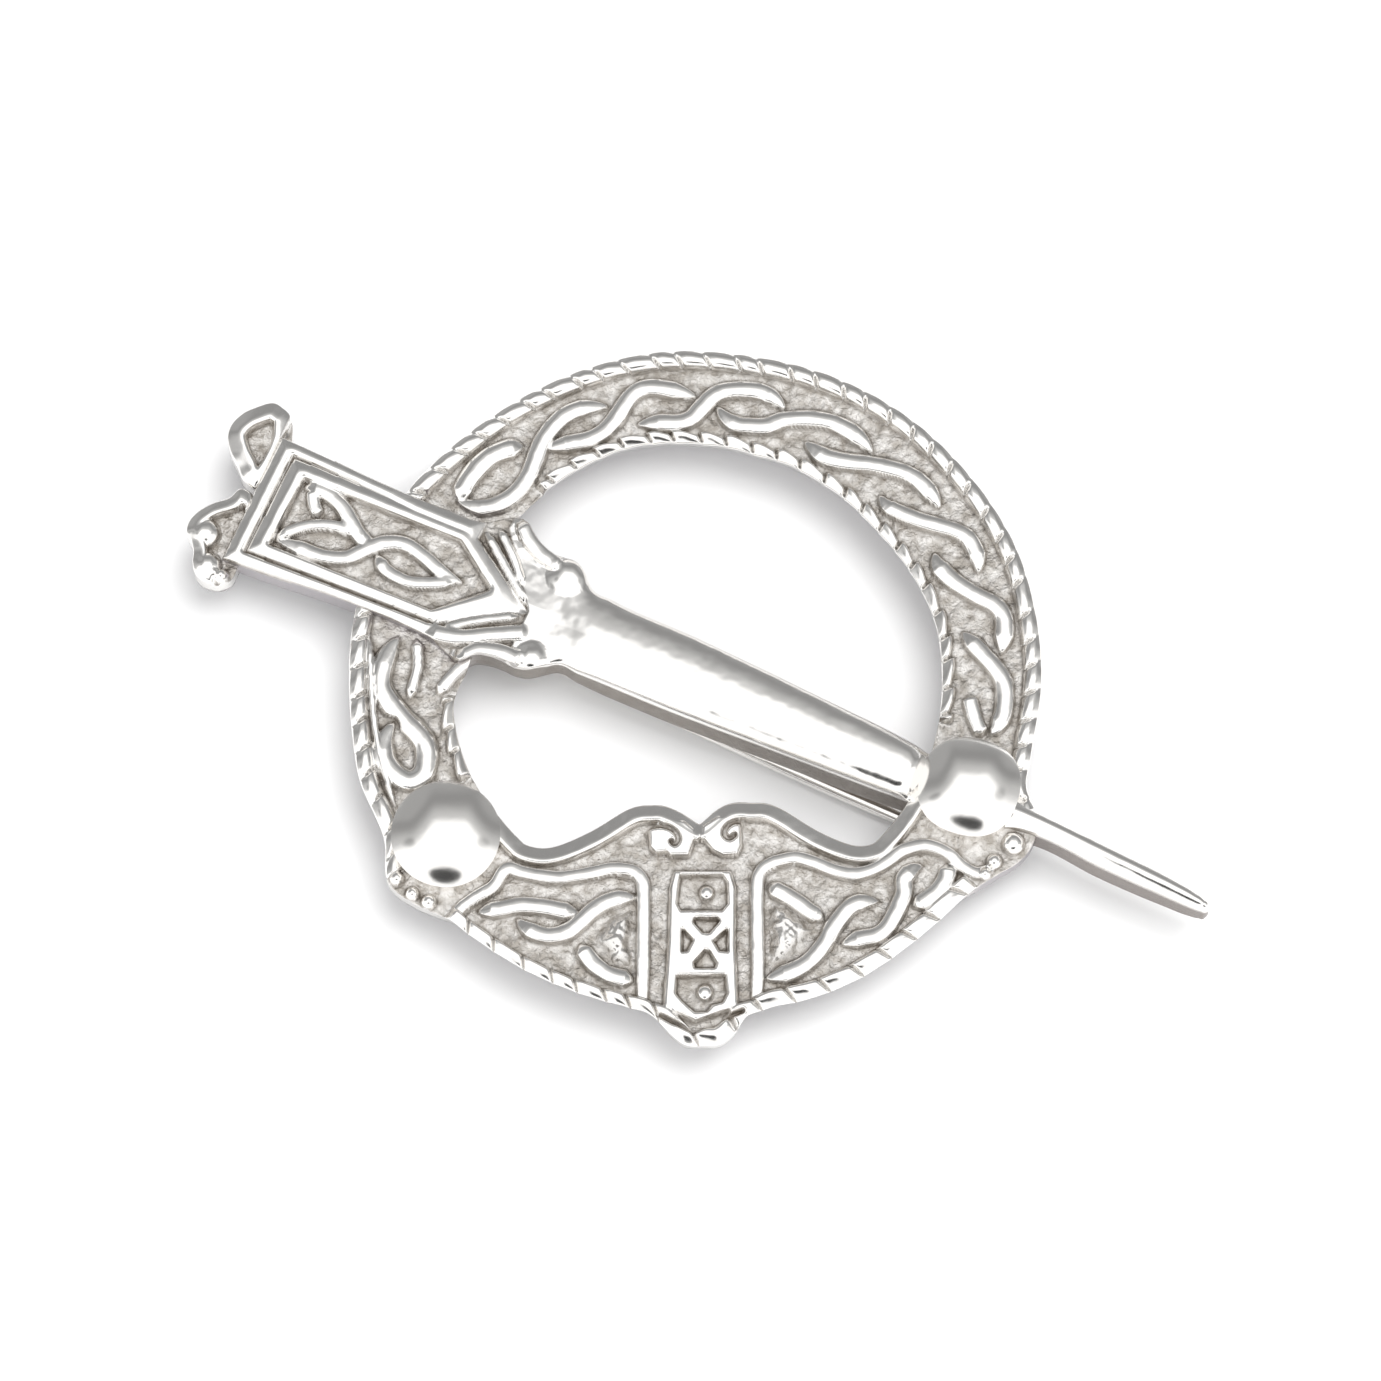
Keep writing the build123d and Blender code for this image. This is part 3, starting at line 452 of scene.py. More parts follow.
# Raised work on a field of heights
class Relief:
    """Heights and polish over a grid of points (u, v). Each method raises some work on it."""

    def __init__(self, u, v, ground, seed):
        self.u, self.v = u, v
        self.height = ground + bumps(u, v, GROUND_BUMPS, seed)
        self.polish = np.zeros(u.shape)

    def settle(self, seed):
        """Slight waves on the polished work, and the tarnish beside it: the mean polish of the
        points round about, where the point itself isn't polished."""
        self.height += bumps(self.u, self.v, POLISH_WAVES, seed) * self.polish
        padded = np.pad(self.polish, SPREAD, mode="edge")
        size = 2 * SPREAD + 1
        near = np.lib.stride_tricks.sliding_window_view(padded, (size, size)).mean(axis=(2, 3))
        self.tarnish_and_shade = held(1.7 * near) * (1 - self.polish)

    def raise_to(self, surface, mark, soft=0.05):
        """Merges a surface into the heights and marks its polish."""
        self.height = merge(self.height, surface, soft)
        self.polish = np.maximum(self.polish, mark)

    def strand(self, points, width, base, top, pointed=0.12):
        """A strand, thinner at both ends: at a distance d from its crest it has fallen by
        BOW - sqrt(BOW^2 - d^2), down to a steep foot. The crest runs CREST_SHIFT mm nearer the
        camera than the middle line."""
        path = catmull(points)
        low, high = path.min(axis=0) - width, path.max(axis=0) + width
        area = (self.u > low[0]) & (self.u < high[0]) & (self.v > low[1]) & (self.v < high[1])
        u, v = self.u[area], self.v[area]
        far, share = to_path(u, v, path)
        ends = held(np.sin(np.pi * share) * 2.6) ** 0.7
        half = width / 2 * (pointed + (1 - pointed) * ends) * (1 + 0.08 * grain(u, v, 1.1, 7))
        x = held(far / half)
        lift = (top - base) * (0.35 + 0.65 * ends)
        aside, _ = to_path(u, v + CREST_SHIFT, path)
        bow = BOW - np.sqrt(BOW ** 2 - np.clip(aside, 0, 0.9 * BOW) ** 2)
        foot = np.sqrt(1 - held((x - 0.82) / 0.18) ** 2)
        surface = base + np.maximum(lift - bow, 0) * foot
        surface = np.where(far > half, base - UNDER - FALL * (far - half), surface)
        mark = ease(half - far, -0.04, 0.12) * ease(half, 0.05, 0.12)
        self.height[area] = merge(self.height[area], surface, 0.07)
        self.polish[area] = np.maximum(self.polish[area], mark)

    def block(self, outline, base, top):
        """A raised block whose edge is a quarter of an ellipse, BLOCK_ROUND mm wide."""
        inside = depth_inside(self.u, self.v, outline)
        x = held(1 - inside / BLOCK_ROUND)
        surface = base + (top - base) * np.sqrt(1 - x ** 2)
        surface = np.where(inside > 0, surface, base - UNDER + FALL * inside)
        self.raise_to(surface, ease(inside, -0.01, 0.08), 0.03)

    def dome(self, middle, size, base, rise, soft, rim=0.2):
        """A dome: at a share x of its radius size it stands rise * sqrt(1 - x^2) over base. Its
        polish starts over a share rim at its edge."""
        far = np.hypot(self.u - middle[0], self.v - middle[1]) / size
        surface = base + rise * np.sqrt(held(1 - far ** 2))
        self.raise_to(np.where(far < 1, surface, 0), ease(1 - far, 0, rim), soft)

    def sink(self, inside, floor, edge=0.16):
        """A pit down to floor where inside is above zero, with a rounded lip."""
        down = ease(inside, -0.06, edge)
        rough = 0.07 * grain(self.u, self.v, 0.26, 31)
        self.height = self.height * (1 - down) + np.minimum(self.height, floor + rough) * down
        self.polish = self.polish * (1 - ease(inside, 0.0, 0.08))

    def between(self, outer, inner, base, top):
        """An edge ridge that fills the space between two outlines."""
        a = depth_inside(self.u, self.v, outer)
        b = -depth_inside(self.u, self.v, inner)
        room = np.maximum(a + b, 0.05)
        surface = edge_ridge(held(a / room), room, crest_at=0.62, slope=0.44,
                             bend=0.12, base=base, crest=top)
        inside = np.minimum(a, b)
        surface = np.where(inside > 0, surface, base - UNDER + FALL * inside)
        self.raise_to(surface, ease(inside, -0.01, 0.09), 0.03)

    def rope(self, edge, width, angle, radius, cuts, slant, crest_at, live, tooth=0.0, rim=0.0):
        """A rope border. edge is the distance from the plate's edge, and cuts are the angles of
        its slits, which lean by slant mm over the width and start at a share rim of it. A cell
        has the profile of an edge ridge, swells in its middle by 4 f (1 - f) at a share f of
        its length and dips at both slits. tooth narrows it at its start, luck is a share from
        0 to 1 that differs from cell to cell, and the rope sinks away where live is 0."""
        lean = slant * (0.5 - edge / width)
        phase = angle - np.degrees(lean / radius)
        cuts = np.asarray(cuts)
        k = np.clip(np.searchsorted(cuts, phase) - 1, 0, len(cuts) - 2)
        span = cuts[k + 1] - cuts[k]
        f = held((phase - cuts[k]) / span)
        arc = np.radians(span) * radius
        luck = np.sin(12.9898 * (k + 1)) * 43758.5453
        luck = luck - np.floor(luck)
        room = width * (1 - tooth * (1 - ease(f, 0.0, 0.75)))
        x = edge / room
        surface = edge_ridge(x, room, crest_at, ROPE_SLOPE, ROPE_BEND, PLATE - 0.06, CREST)
        gap = np.minimum(f, 1 - f) * arc
        deep = 0.85 * (ease(x, rim - 0.25, rim + 0.1) if rim else 1)
        slit = np.exp(-(gap / (0.05 + 0.04 * luck)) ** 2) * deep
        swell = 0.14 * (4 * f * (1 - f) - 1) + 0.05 * (luck - 0.5)
        low = np.minimum(surface, PLATE + 0.12 - 0.1 * x)
        surface = (surface + swell) * (1 - slit) + low * slit
        surface = np.where(x > 1, PLATE - 0.2 - FALL * (edge - room), surface)
        mark = ease(1 - x, -0.02, 0.10) * (1 - 0.8 * ease(slit, 0.35, 0.75))
        self.raise_to(surface * live + (PLATE - 1) * (1 - live), mark * live, 0.04)


# Meshes
def place(u, v, n):
    """Millimetres on the brooch's back to metres in the frame."""
    return np.stack([u + ORIGIN[0], v + ORIGIN[1], n + ORIGIN[2]], axis=-1) * MM


def from_bar(x, y):
    """Along and across the bar to u and v."""
    return turned(x, y, BAR_ANGLE)


def to_bar(u, v):
    """u and v to along and across the bar."""
    return turned(u, v, -BAR_ANGLE)


def around_pin(s, w, n):
    """Along the pin, beside it and above its middle line, to a place in the frame."""
    return place(*turned(s, w - PIN_OFFSET, PIN_ANGLE), n - PIN_DEPTH)


def put(name, data):
    """A new object in the scene."""
    made = bpy.data.objects.new(name, data)
    bpy.context.scene.collection.objects.link(made)
    return made


def skin(name, points, body, slot, rows_closed=False, columns_closed=False, marks=None):
    """A closed mesh over a grid of points (rows, columns, 3). Open columns end in flat faces,
    and open rows end in a pole. Faces are turned outwards by the sign of the volume. marks are
    the values, or arrays of them, that the material reads at the points."""
    rows, columns = points.shape[:2]
    index = np.arange(rows * columns).reshape(rows, columns)
    down = np.vstack([index, index[:1]]) if rows_closed else index
    grid = np.hstack([down, down[:, :1]]) if columns_closed else down
    quads = np.stack([grid[:-1, :-1], grid[1:, :-1], grid[1:, 1:], grid[:-1, 1:]], axis=-1)
    quads = quads.reshape(-1, 4)
    verts = points.reshape(-1, 3)
    faces = quads.tolist()
    extra = []
    if rows_closed and not columns_closed:
        faces += [index[::-1, 0].tolist(), index[:, -1].tolist()]
    if not rows_closed:
        first, last = len(verts), len(verts) + 1
        verts = np.vstack([verts, points[0].mean(axis=0), points[-1].mean(axis=0)])
        extra = [0, rows - 1]
        faces += [[first, a, b] for a, b in zip(grid[0, :-1].tolist(), grid[0, 1:].tolist())]
        faces += [[last, b, a] for a, b in zip(grid[-1, :-1].tolist(), grid[-1, 1:].tolist())]
    a, b, c, d = (verts[quads[:, i]] for i in range(4))
    centre = verts.mean(axis=0)
    volume = (np.einsum("ij,ij->", np.cross(a - centre, b - centre), c - centre)
              + np.einsum("ij,ij->", np.cross(a - centre, c - centre), d - centre))
    if volume < 0:
        faces = [face[::-1] for face in faces]
    mesh = bpy.data.meshes.new(name)
    mesh.from_pydata(verts.tolist(), [], faces)
    mesh.polygons.foreach_set("use_smooth", [True] * len(faces))
    for label, values in (marks or {}).items():
        values = np.broadcast_to(values, (rows, columns))
        flat = values.reshape(-1)
        if extra:
            flat = np.concatenate([flat, [values[row].mean() for row in extra]])
        layer = mesh.attributes.new(label, "FLOAT", "POINT")
        layer.data.foreach_set("value", flat.astype(np.float32))
    mesh.update()
    piece = put(name, mesh)
    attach(piece, body)
    mesh.materials.append(MATERIALS[slot])
    return piece


def slab(name, u, v, relief, foot_first, foot_last, first_wall=0.0, last_wall=0.0, wall_shade=0.0):
    """A plate whose top is a field of heights over (u, v), with walls down to a flat back.
    foot_first and foot_last are the feet (u, v) of the walls under the first and last rows,
    first_wall and last_wall how polished the walls are, and the last argument how much of their
    sawn look gives way to the dark tarnish tone, as painted shade on walls that lie in shadow."""
    def mixed(a, b, shares):
        return a[None] + (b - a)[None] * shares[:, None]

    height = relief.height
    drop = np.array([0.12, 0.4, 0.75, 0.95])
    rows = []
    for edge, foot, order in ((-1, foot_last, 1), (0, foot_first, -1)):
        wall_u = mixed(u[edge], foot[0], drop)
        wall_v = mixed(v[edge], foot[1], drop)
        wall_n = height[edge][None] * (1 - drop[:, None])
        rows.append([part[::order] for part in (wall_u, wall_v, wall_n)])
    back_rows = 6
    across = np.linspace(0.02, 0.98, back_rows)
    back = [mixed(foot_last[0], foot_first[0], across), mixed(foot_last[1], foot_first[1], across)]
    back.append(np.zeros_like(back[0]))
    layers = [np.vstack([top, rows[0][i], back[i], rows[1][i]])
              for i, top in enumerate((u, v, height))]
    wall = len(drop)
    columns = u.shape[1]
    ones = np.ones(columns)
    filled = np.vstack([last_wall * ones] * wall + [0 * ones] * back_rows
                       + [first_wall * ones] * wall)
    # The last argument darkens the walls: they lose their sawn look and take the dark tarnish
    # tone, as painted shade
    sawn = np.vstack([np.zeros_like(u), (1 - filled) * (1 - wall_shade)])
    marks = {"polish": np.vstack([relief.polish, filled]), "sawn": sawn,
             "tarnish_and_shade": np.vstack([relief.tarnish_and_shade, wall_shade + 0 * filled])}
    return skin(name, place(*layers), "brooch", "cast_silver", rows_closed=True, marks=marks)


# Materials
def colour(code):
    """An sRGB hex code as a linear colour."""
    parts = [int(code[i:i + 2], 16) / 255 for i in (1, 3, 5)]
    return [p / 12.92 if p <= 0.04045 else ((p + 0.055) / 1.055) ** 2.4 for p in parts] + [1.0]


def add(tree, kind, inputs=None, **settings):
    """A node with its settings, and its inputs set to values or linked to other sockets."""
    node = tree.nodes.new(kind)
    for key, value in settings.items():
        setattr(node, key, value)
    for key, value in (inputs or {}).items():
        if isinstance(value, bpy.types.NodeSocket):
            tree.links.new(value, node.inputs[key])
        else:
            node.inputs[key].default_value = value
    return node


def new_material(name):
    """An empty material and its nodes."""
    made = bpy.data.materials.new(name)
    made.use_nodes = True
    made.node_tree.nodes.clear()
    return made, made.node_tree


def noise(tree, per_mm, detail=2.0, rough=0.5):
    """A pattern over the object's own space, so many grains or waves to a millimetre."""
    place_at = add(tree, "ShaderNodeTexCoord").outputs["Object"]
    return add(tree, "ShaderNodeTexNoise", {"Vector": place_at, "Scale": per_mm / MM,
                                            "Detail": detail, "Roughness": rough}).outputs["Fac"]


def mix_colours(tree, factor, a, b):
    """Colour a where the factor is 0, and b where it is 1."""
    return add(tree, "ShaderNodeMix", {"Factor": factor, "A": a, "B": b},
               data_type="RGBA").outputs["Result"]


def metal(tree, base, rough, pattern, strength, depth):
    """Metal of a colour and roughness, with bumps that follow a pattern, depth mm high."""
    bump = add(tree, "ShaderNodeBump", {"Height": pattern, "Strength": strength,
                                        "Distance": depth * MM})
    return add(tree, "ShaderNodeBsdfPrincipled",
               {"Base Color": base, "Metallic": 1.0, "Roughness": rough,
                "Normal": bump.outputs["Normal"]}).outputs[0]


def cast_silver():
    """Cast sterling silver: mirror polish on the raised work, a matte warm grey ground with a
    fine grain between it, brown tarnish where the two meet, and matte sawn walls. The same dark
    tarnish tone is also painted on walls that lie in shadow, as painted shade. The grit of a
    casting is finer than 0.1 mm, and is drawn a little coarser so that it shows."""
    made, tree = new_material("polished sterling silver over cast matte ground")
    polish, sawn, tarnish_and_shade = (
        add(tree, "ShaderNodeAttribute", attribute_name=name).outputs["Fac"]
        for name in ("polish", "sawn", "tarnish_and_shade"))
    grit = noise(tree, GRIT_PER_MM, detail=3.0, rough=0.6)
    waves = noise(tree, WAVES_PER_MM)
    stain = noise(tree, STAINS_PER_MM, detail=5.0)
    patches = add(tree, "ShaderNodeMapRange", {"Value": stain, "From Min": 0.36,
                                               "From Max": 0.64}).outputs["Result"]
    clean = mix_colours(tree, patches, colour("#c4beb6"), colour("#fdfaf6"))
    # Brown tarnish beside the polished work, and the same dark tone as painted shade on walls that
    # lie in shadow
    tone = mix_colours(tree, tarnish_and_shade, clean, colour("#80776d"))
    # Ground, sawn walls and polish: colour, roughness, and the bump's pattern, share and mm
    finishes = (
        (tone, 0.30, grit, 1.0, 0.10),
        (colour("#b3afb2"), 0.46, grit, 0.35, 0.04),
        (colour("#f7f5f2"), 0.15, waves, 0.08, 0.08),
    )
    ground, cut, shine = (metal(tree, *finish) for finish in finishes)
    low = add(tree, "ShaderNodeMixShader", {0: sawn, 1: ground, 2: cut})
    final = add(tree, "ShaderNodeMixShader", {0: polish, 1: low.outputs[0], 2: shine})
    add(tree, "ShaderNodeOutputMaterial", {"Surface": final.outputs[0]})
    return made


def drawn_silver():
    """Drawn silver wire, bright, with the faint unevenness that handling leaves on it."""
    made, tree = new_material("bright drawn silver wire")
    shine = metal(tree, colour("#f1efeb"), 0.13, noise(tree, DRAWN_PER_MM), 0.15, 0.03)
    add(tree, "ShaderNodeOutputMaterial", {"Surface": shine})
    return made


MATERIALS = {"cast_silver": cast_silver(), "silver_wire": drawn_silver()}


# Ring and crescent
def outer_edge(angle):
    """The plate's rim, as a distance from the ring's middle."""
    return RING * curve(RIM, angle, period=360)


def ogee_radius(angle, rows):
    """The ogee edge as a distance from the ring's middle at an angle in 180..360."""
    rows = RING * np.asarray(rows)
    table = np.stack([np.degrees(np.arctan2(rows[:, 1], rows[:, 0])) % 360,
                      np.hypot(rows[:, 0], rows[:, 1])], axis=-1)
    return curve(table, angle)


def inner_edge(angle):
    """The hole's edge, as a distance from the ring's middle. A lip hangs over it on the far
    side, where its wall would show, the corner below the neck is filled by up to 1 mm, and the
    ogee edge comes in front of it where that is nearer to the middle."""
    at = angle % 360
    lip = WALL_TUCK * held(np.sin(np.radians(angle)))
    corner = np.exp(-((at - 174) / 8) ** 2)
    hole = HOLE_RADIUS * curve(HOLE, angle, period=360) - lip - corner
    notch = np.degrees(np.arctan2(-0.436, 0.010)) % 360
    ogee = np.where(at < notch, ogee_radius(at, OGEE_LEFT), ogee_radius(at, OGEE_RIGHT))
    return np.where((at > 213) & (at < 327.8), np.minimum(hole, ogee), hole)


def sector(first, last, columns, rows):
    """Points of a part of the ring, from its inner to its outer edge, closer near the edges."""
    angle = np.linspace(first, last, columns)
    inner, outer = inner_edge(angle), outer_edge(angle)
    radius = inner + (outer - inner) * crowded(rows, 0.25)
    return (*polar(radius, np.radians(angle)), radius, angle + 0 * radius)


def edge_path(edge, first, last):
    """Points along an edge between two angles."""
    angle = np.linspace(first, last, 220)
    return np.stack(polar(edge(angle), np.radians(angle)), -1)


def feet(u, v, inset):
    """The wall's feet, moved towards or away from the ring's middle by inset mm."""
    length = np.hypot(u, v)
    return u * (1 + inset / length), v * (1 + inset / length)


def even_cuts(first, last, pitch, radius, seed):
    """Angles of a rope's slits, about pitch mm apart, each moved by up to half a degree."""
    count = round(np.radians(last - first) * radius / pitch)
    cuts = np.linspace(first, last, count + 1)
    return cuts + np.random.default_rng(seed).uniform(-0.5, 0.5, count + 1)


def round_edge(relief, edge):
    """Rounds a plate's edge: it drops by 0.8 r (1 - sqrt(1 - x^2)) within r = EDGE_ROUND."""
    x = held(1 - edge / EDGE_ROUND)
    relief.height -= 0.8 * EDGE_ROUND * (1 - np.sqrt(1 - 0.98 * x ** 2))


def build_ring():
    """The braided part of the ring, over angle and radius: a rope along both edges, the braid's
    strands between them, and a hollow where the head and the bar lie over it."""
    u, v, radius, angle = sector(BRAID_FROM, BRAID_TO, 880, 84)
    relief = Relief(u, v, PLATE, seed=3)
    from_rim = outer_edge(angle) - radius
    from_hole = radius - inner_edge(angle)
    cuts = even_cuts(-26, 216, pitch=1.52, radius=18.4, seed=5)
    relief.rope(from_rim, 1.05, angle, radius, cuts, slant=0.5, crest_at=0.50, live=1, rim=0.45)
    cuts = even_cuts(-26, 216, pitch=1.46, radius=13.9, seed=11)
    live = within(angle, -12, -9, 127, 131) + within(angle, 182, 185, 203, 206)
    relief.rope(from_hole, 0.76, angle, radius, cuts, slant=-0.3, crest_at=0.76, live=live,
                tooth=0.3, rim=0.3)
    for points, width in zip(BRAID, BRAID_WIDTHS):
        relief.strand(points, width, PLATE, top=CREST - 0.08)
    round_edge(relief, np.minimum(from_rim, from_hole))
    x, y = to_bar(u, v)
    under = np.minimum(curve(BAR_EDGES, x, 1) - y, y - curve(BAR_EDGES, x, 2))
    under = np.minimum(under, BAR_END - x)
    covered = ease(under, 0.0, 0.15)
    hollow = np.minimum(relief.height, PLATE - 0.2)
    relief.height = relief.height * (1 - covered) + hollow * covered
    relief.settle(seed=21)
    tuck = WALL_TUCK * ease(v[0], -8.0, 2.0)
    return slab("ring_braid", u, v, relief, feet(u[0], v[0], inset=tuck),
                feet(u[-1], v[-1], inset=-0.12), first_wall=1.0, last_wall=1.0)


def build_crescent():
    """The crescent plate, over angle and radius: pebbled pads, ridges and strands, the ridge
    along the ogee edge, scrolls, the centre panel with its pits, and the rope below."""
    u, v, radius, angle = sector(BRAID_TO, PLATE_TO, 560, 150)
    relief = Relief(u, v, PLATE, seed=13)
    from_rim, _ = to_path(u, v, edge_path(outer_edge, 210, 341))
    from_edge, _ = to_path(u, v, edge_path(inner_edge, 207, 341))
    for outline in PADS:
        inside = depth_inside(u, v, outline)
        pad = PLATE - 0.1 + 0.50 * ease(inside, -0.1, 1.0)
        pad += bumps(u, v, PEBBLES, seed=51) * ease(inside, 0, 0.3)
        relief.raise_to(np.where(inside > -0.2, pad, 0), 0.80 * ease(inside, 0.15, 0.8))
    for points in PANEL_RIDGES:
        relief.strand(points, 0.78, PLATE, top=CREST - 0.02, pointed=0.8)
    for points in PANEL_STRANDS:
        relief.strand(points, 1.02, PLATE, top=CREST - 0.06)
    x = from_edge / OGEE_RIDGE
    ridge = edge_ridge(x, OGEE_RIDGE, crest_at=0.76, slope=0.46, bend=0.10, base=PLATE - 0.06,
                       crest=CREST)
    relief.raise_to(np.where(x > 1, PLATE - 0.2, ridge), ease(1 - x, -0.02, 0.08), soft=0.04)
    for outline in SCROLLS:
        relief.block(outline, PLATE, top=CREST - 0.04)
    for points in CURLS:
        far, _ = to_path(u, v, catmull(points))
        relief.sink(0.17 - far, floor=PLATE + 0.30, edge=0.12)
    relief.sink(depth_inside(u, v, SCROLL_NOTCH), floor=PLATE)
    relief.block(CENTRE_PANEL, PLATE, top=CREST - 0.02)
    for outline in CENTRE_PITS:
        relief.sink(depth_inside(u, v, outline), floor=PLATE + 0.08)
    for *middle, size in PIT_DOTS:
        relief.dome(middle, size, PLATE + 0.05, rise=0.45, soft=0.04, rim=0.1 / size)
    for *middle, size in RIM_BEADS:
        relief.dome(middle, size, PLATE, rise=0.62, soft=0.06)
    tab = within(angle, 262, 266, 276, 279)
    width = 0.72 + 0.26 * ease(angle, 276, 284) + 0.28 * tab
    live = within(angle, 222.5, 225.5, 322, 324)
    relief.rope(from_rim, width, angle, radius, LOWER_CUTS, slant=0.5, crest_at=0.72, live=live)
    far, _ = to_path(u, v, TAB_GROOVE)
    relief.sink(0.15 - far, floor=PLATE + 0.12, edge=0.12)
    round_edge(relief, np.minimum(from_rim, from_edge))
    relief.settle(seed=23)
    bright = 1 - ease(angle[0], 318, 324)
    tuck = WALL_TUCK * bright * ease(angle[0], 222, 228) * (1 - 0.5 * tab[0])
    return slab("crescent_plate", u, v, relief, (u[0], v[0]), feet(u[-1], v[-1], inset=-tuck),
                first_wall=1.0, last_wall=bright)


# Head, neck, bar and point
def build_bar():
    """Head, neck and bar, over x and y: border, frame and knot on the head, lines, rims and
    domes on the neck, and on the bar a dome that falls from its crown to the top of its wall
    by (1 - s^p)^(1/p), at a share s of its half width."""
    x = np.concatenate([np.linspace(HEAD_END, -7.0, 230), np.linspace(-6.9, BAR_END, 150)])
    upper, lower = curve(BAR_EDGES, x, 1), curve(BAR_EDGES, x, 2)
    y = upper + (lower - upper) * crowded(100, 0.3)
    x = x + 0 * y
    relief = Relief(x, y, HEAD, seed=41)
    outline = [(a, b) for a, b, c in BAR_EDGES if a < NECK]
    outline += [(a, c) for a, b, c in reversed(BAR_EDGES) if a < NECK]
    shelf = ease(-depth_inside(x, y, FRAME_INNER), 0.10, 0.40)
    relief.height += 0.26 * shelf
    relief.between(outline, BORDER_INNER, HEAD + 0.1, top=HEAD_CREST)
    relief.between(FRAME_OUTER, FRAME_INNER, HEAD, top=HEAD_CREST + 0.06)
    for points, width in zip(HEAD_STRANDS, HEAD_WIDTHS):
        relief.strand(points, width, HEAD, top=HEAD_CREST - 0.05)
    for points in NECK_LINES:
        relief.strand(points, 0.50, HEAD, top=HEAD_CREST + 0.02, pointed=0.3)
    middle, half = (upper + lower) / 2, (upper - lower) / 2
    side = (y - middle) / half
    crown, wall = curve(BAR_CROWN, x), curve(BAR_WALL, x)
    power = 2.05
    domed = wall + (crown - wall) * (1 - np.clip(np.abs(side), 0, 0.999) ** power) ** (1 / power)
    edge_at = -9.9 - 0.74 * np.clip(y + 0.4, 0, 4)
    start = ease(x - edge_at, -0.2, 4.2)
    flat = HEAD_CREST - 0.02 - 0.14 * np.clip(y, 0, 3) * (1 - ease(x, -8.5, -6.5))
    rise = np.where(x > edge_at, domed * start + flat * (1 - start), 0)
    relief.raise_to(rise, ease(x - edge_at, -0.05, 0.15), soft=0.12)
    for points, width, top in NECK_RIMS:
        relief.strand(points, width, HEAD, top, pointed=0.5)
    for *spot, size, top in NECK_LOBES:
        relief.dome(spot, size, HEAD, rise=top - HEAD, soft=0.25, rim=0.1)
    round_edge(relief, np.minimum(upper - y, y - lower) + 0 * x)
    round_edge(relief, x - HEAD_END)
    relief.settle(seed=25)
    flare = 0.20 * ease(x[0], -8.0, -4.0)
    u, v = from_bar(x, y)
    # Both walls of the bar, from the neck on, take the dark tarnish tone as painted shade: the
    # lower one shows in the opening and lies in shadow
    return slab("head_and_bar", u, v, relief,
                from_bar(x[0], y[0] + flare), from_bar(x[-1], y[-1] - flare),
                wall_shade=0.9 * ease(x[0], -13.0, -11.0))


def build_crown(name, centre, width, outline, beads):
    """A crown lobe: rays from a middle out to its outline, walls that are polished but for
    their feet, and a flat back. Its rim fades out where it meets the head."""
    closed = np.vstack([outline, outline[:1]])
    edge = catmull(closed, 8)[:-1]
    t = np.linspace(0, 1, 40)[:, None]
    x = centre[0] + (edge[:, 0] - centre[0]) * t
    y = centre[1] + (edge[:, 1] - centre[1]) * t
    relief = Relief(x, y, HEAD - 0.15, seed=61)
    far, _ = to_path(x, y, np.vstack([edge, edge[:1]]))
    rim = edge_ridge(far / width, width, crest_at=0.76, slope=0.50, bend=0.20, base=HEAD - 0.2,
                     crest=HEAD_CREST)
    live = ease(-26.15 - x, 0.0, 0.35)
    relief.raise_to(np.where(far > width, 0, rim) * live, ease(width - far, 0, 0.1) * live)
    for *middle, size in beads:
        relief.dome(middle, size, HEAD - 0.1, rise=0.85, soft=0.05)
    relief.settle(seed=65)
    round_edge(relief, far)
    drop = np.array([0.15, 0.45, 0.8, 1.0])[:, None]
    wall_n = relief.height[-1][None] * (1 - drop)
    back = np.linspace(0.97, 0.05, 8)[:, None]
    ones = np.ones((len(drop), 1))
    xs = np.vstack([x, x[-1] * ones, centre[0] + (x[-1] - centre[0]) * back])
    ys = np.vstack([y, y[-1] * ones, centre[1] + (y[-1] - centre[1]) * back])
    ns = np.vstack([relief.height, wall_n, 0 * back + 0 * x[-1]])
    below = np.zeros((len(drop) + len(back), x.shape[1]))
    below[:3] = 1.0
    marks = {"polish": np.vstack([relief.polish, below]),
             "sawn": np.vstack([0 * relief.polish, 1 - below]),
             "tarnish_and_shade": np.vstack([relief.tarnish_and_shade, 0 * below])}
    u, v = from_bar(xs[1:], ys[1:])
    marks = {key: value[1:] for key, value in marks.items()}
    return skin(name, place(u, v, ns[1:]), "brooch", "cast_silver", columns_closed=True,
                marks=marks)


def build_point():
    """The point: at each x the section is two walls under a roof, on a flat back. The roof falls
    from its ridge to the shoulders by a bent line, and the wall towards the camera slopes."""
    t, bend = np.linspace(0, 1, 150), 0.3
    x = POINT[0][0] + (POINT[-1][0] - POINT[0][0]) * (1 - (1 - t) ** 1.6)
    middle, half, shoulder, ridge = (curve(POINT, x, i) for i in (1, 2, 3, 4))
    sweep = np.linspace(0, np.pi, 40)[:, None]
    slope = 0.38 * np.minimum(half, 0.9)
    roof = half - slope / 2
    share = np.array([[0.7], [0.3], [0.04]])
    y = [middle + slope / 2 + roof * np.cos(sweep), middle - half + slope * share]
    fall = bent(roof * np.cos(sweep), bend) / bent(roof, bend)
    n = [ridge - (ridge - shoulder) * fall, shoulder * share]
    low = np.array([[-0.96], [-0.3], [0.3], [0.96]])
    y += [middle + half * low, middle + half + 0 * share]
    n += [0 * half + 0 * low, shoulder * share[::-1]]
    y, n = np.vstack(y), np.vstack(n)
    n = n + 0.008 * grain(x + 0 * n, y, 0.6, 71) * (n > 1)
    u, v = from_bar(x + 0 * y, y)
    polish = np.zeros(y.shape)
    polish[:40] = 1.0
    # Both walls under the roof are mostly unpolished ground in the dark tarnish tone, as painted
    # shade for walls that lie in shadow
    return skin("point", place(u, v, n), "brooch", "cast_silver", rows_closed=True,
                marks={"polish": polish, "sawn": 0.3 * (1 - polish), "tarnish_and_shade": 1 - polish})


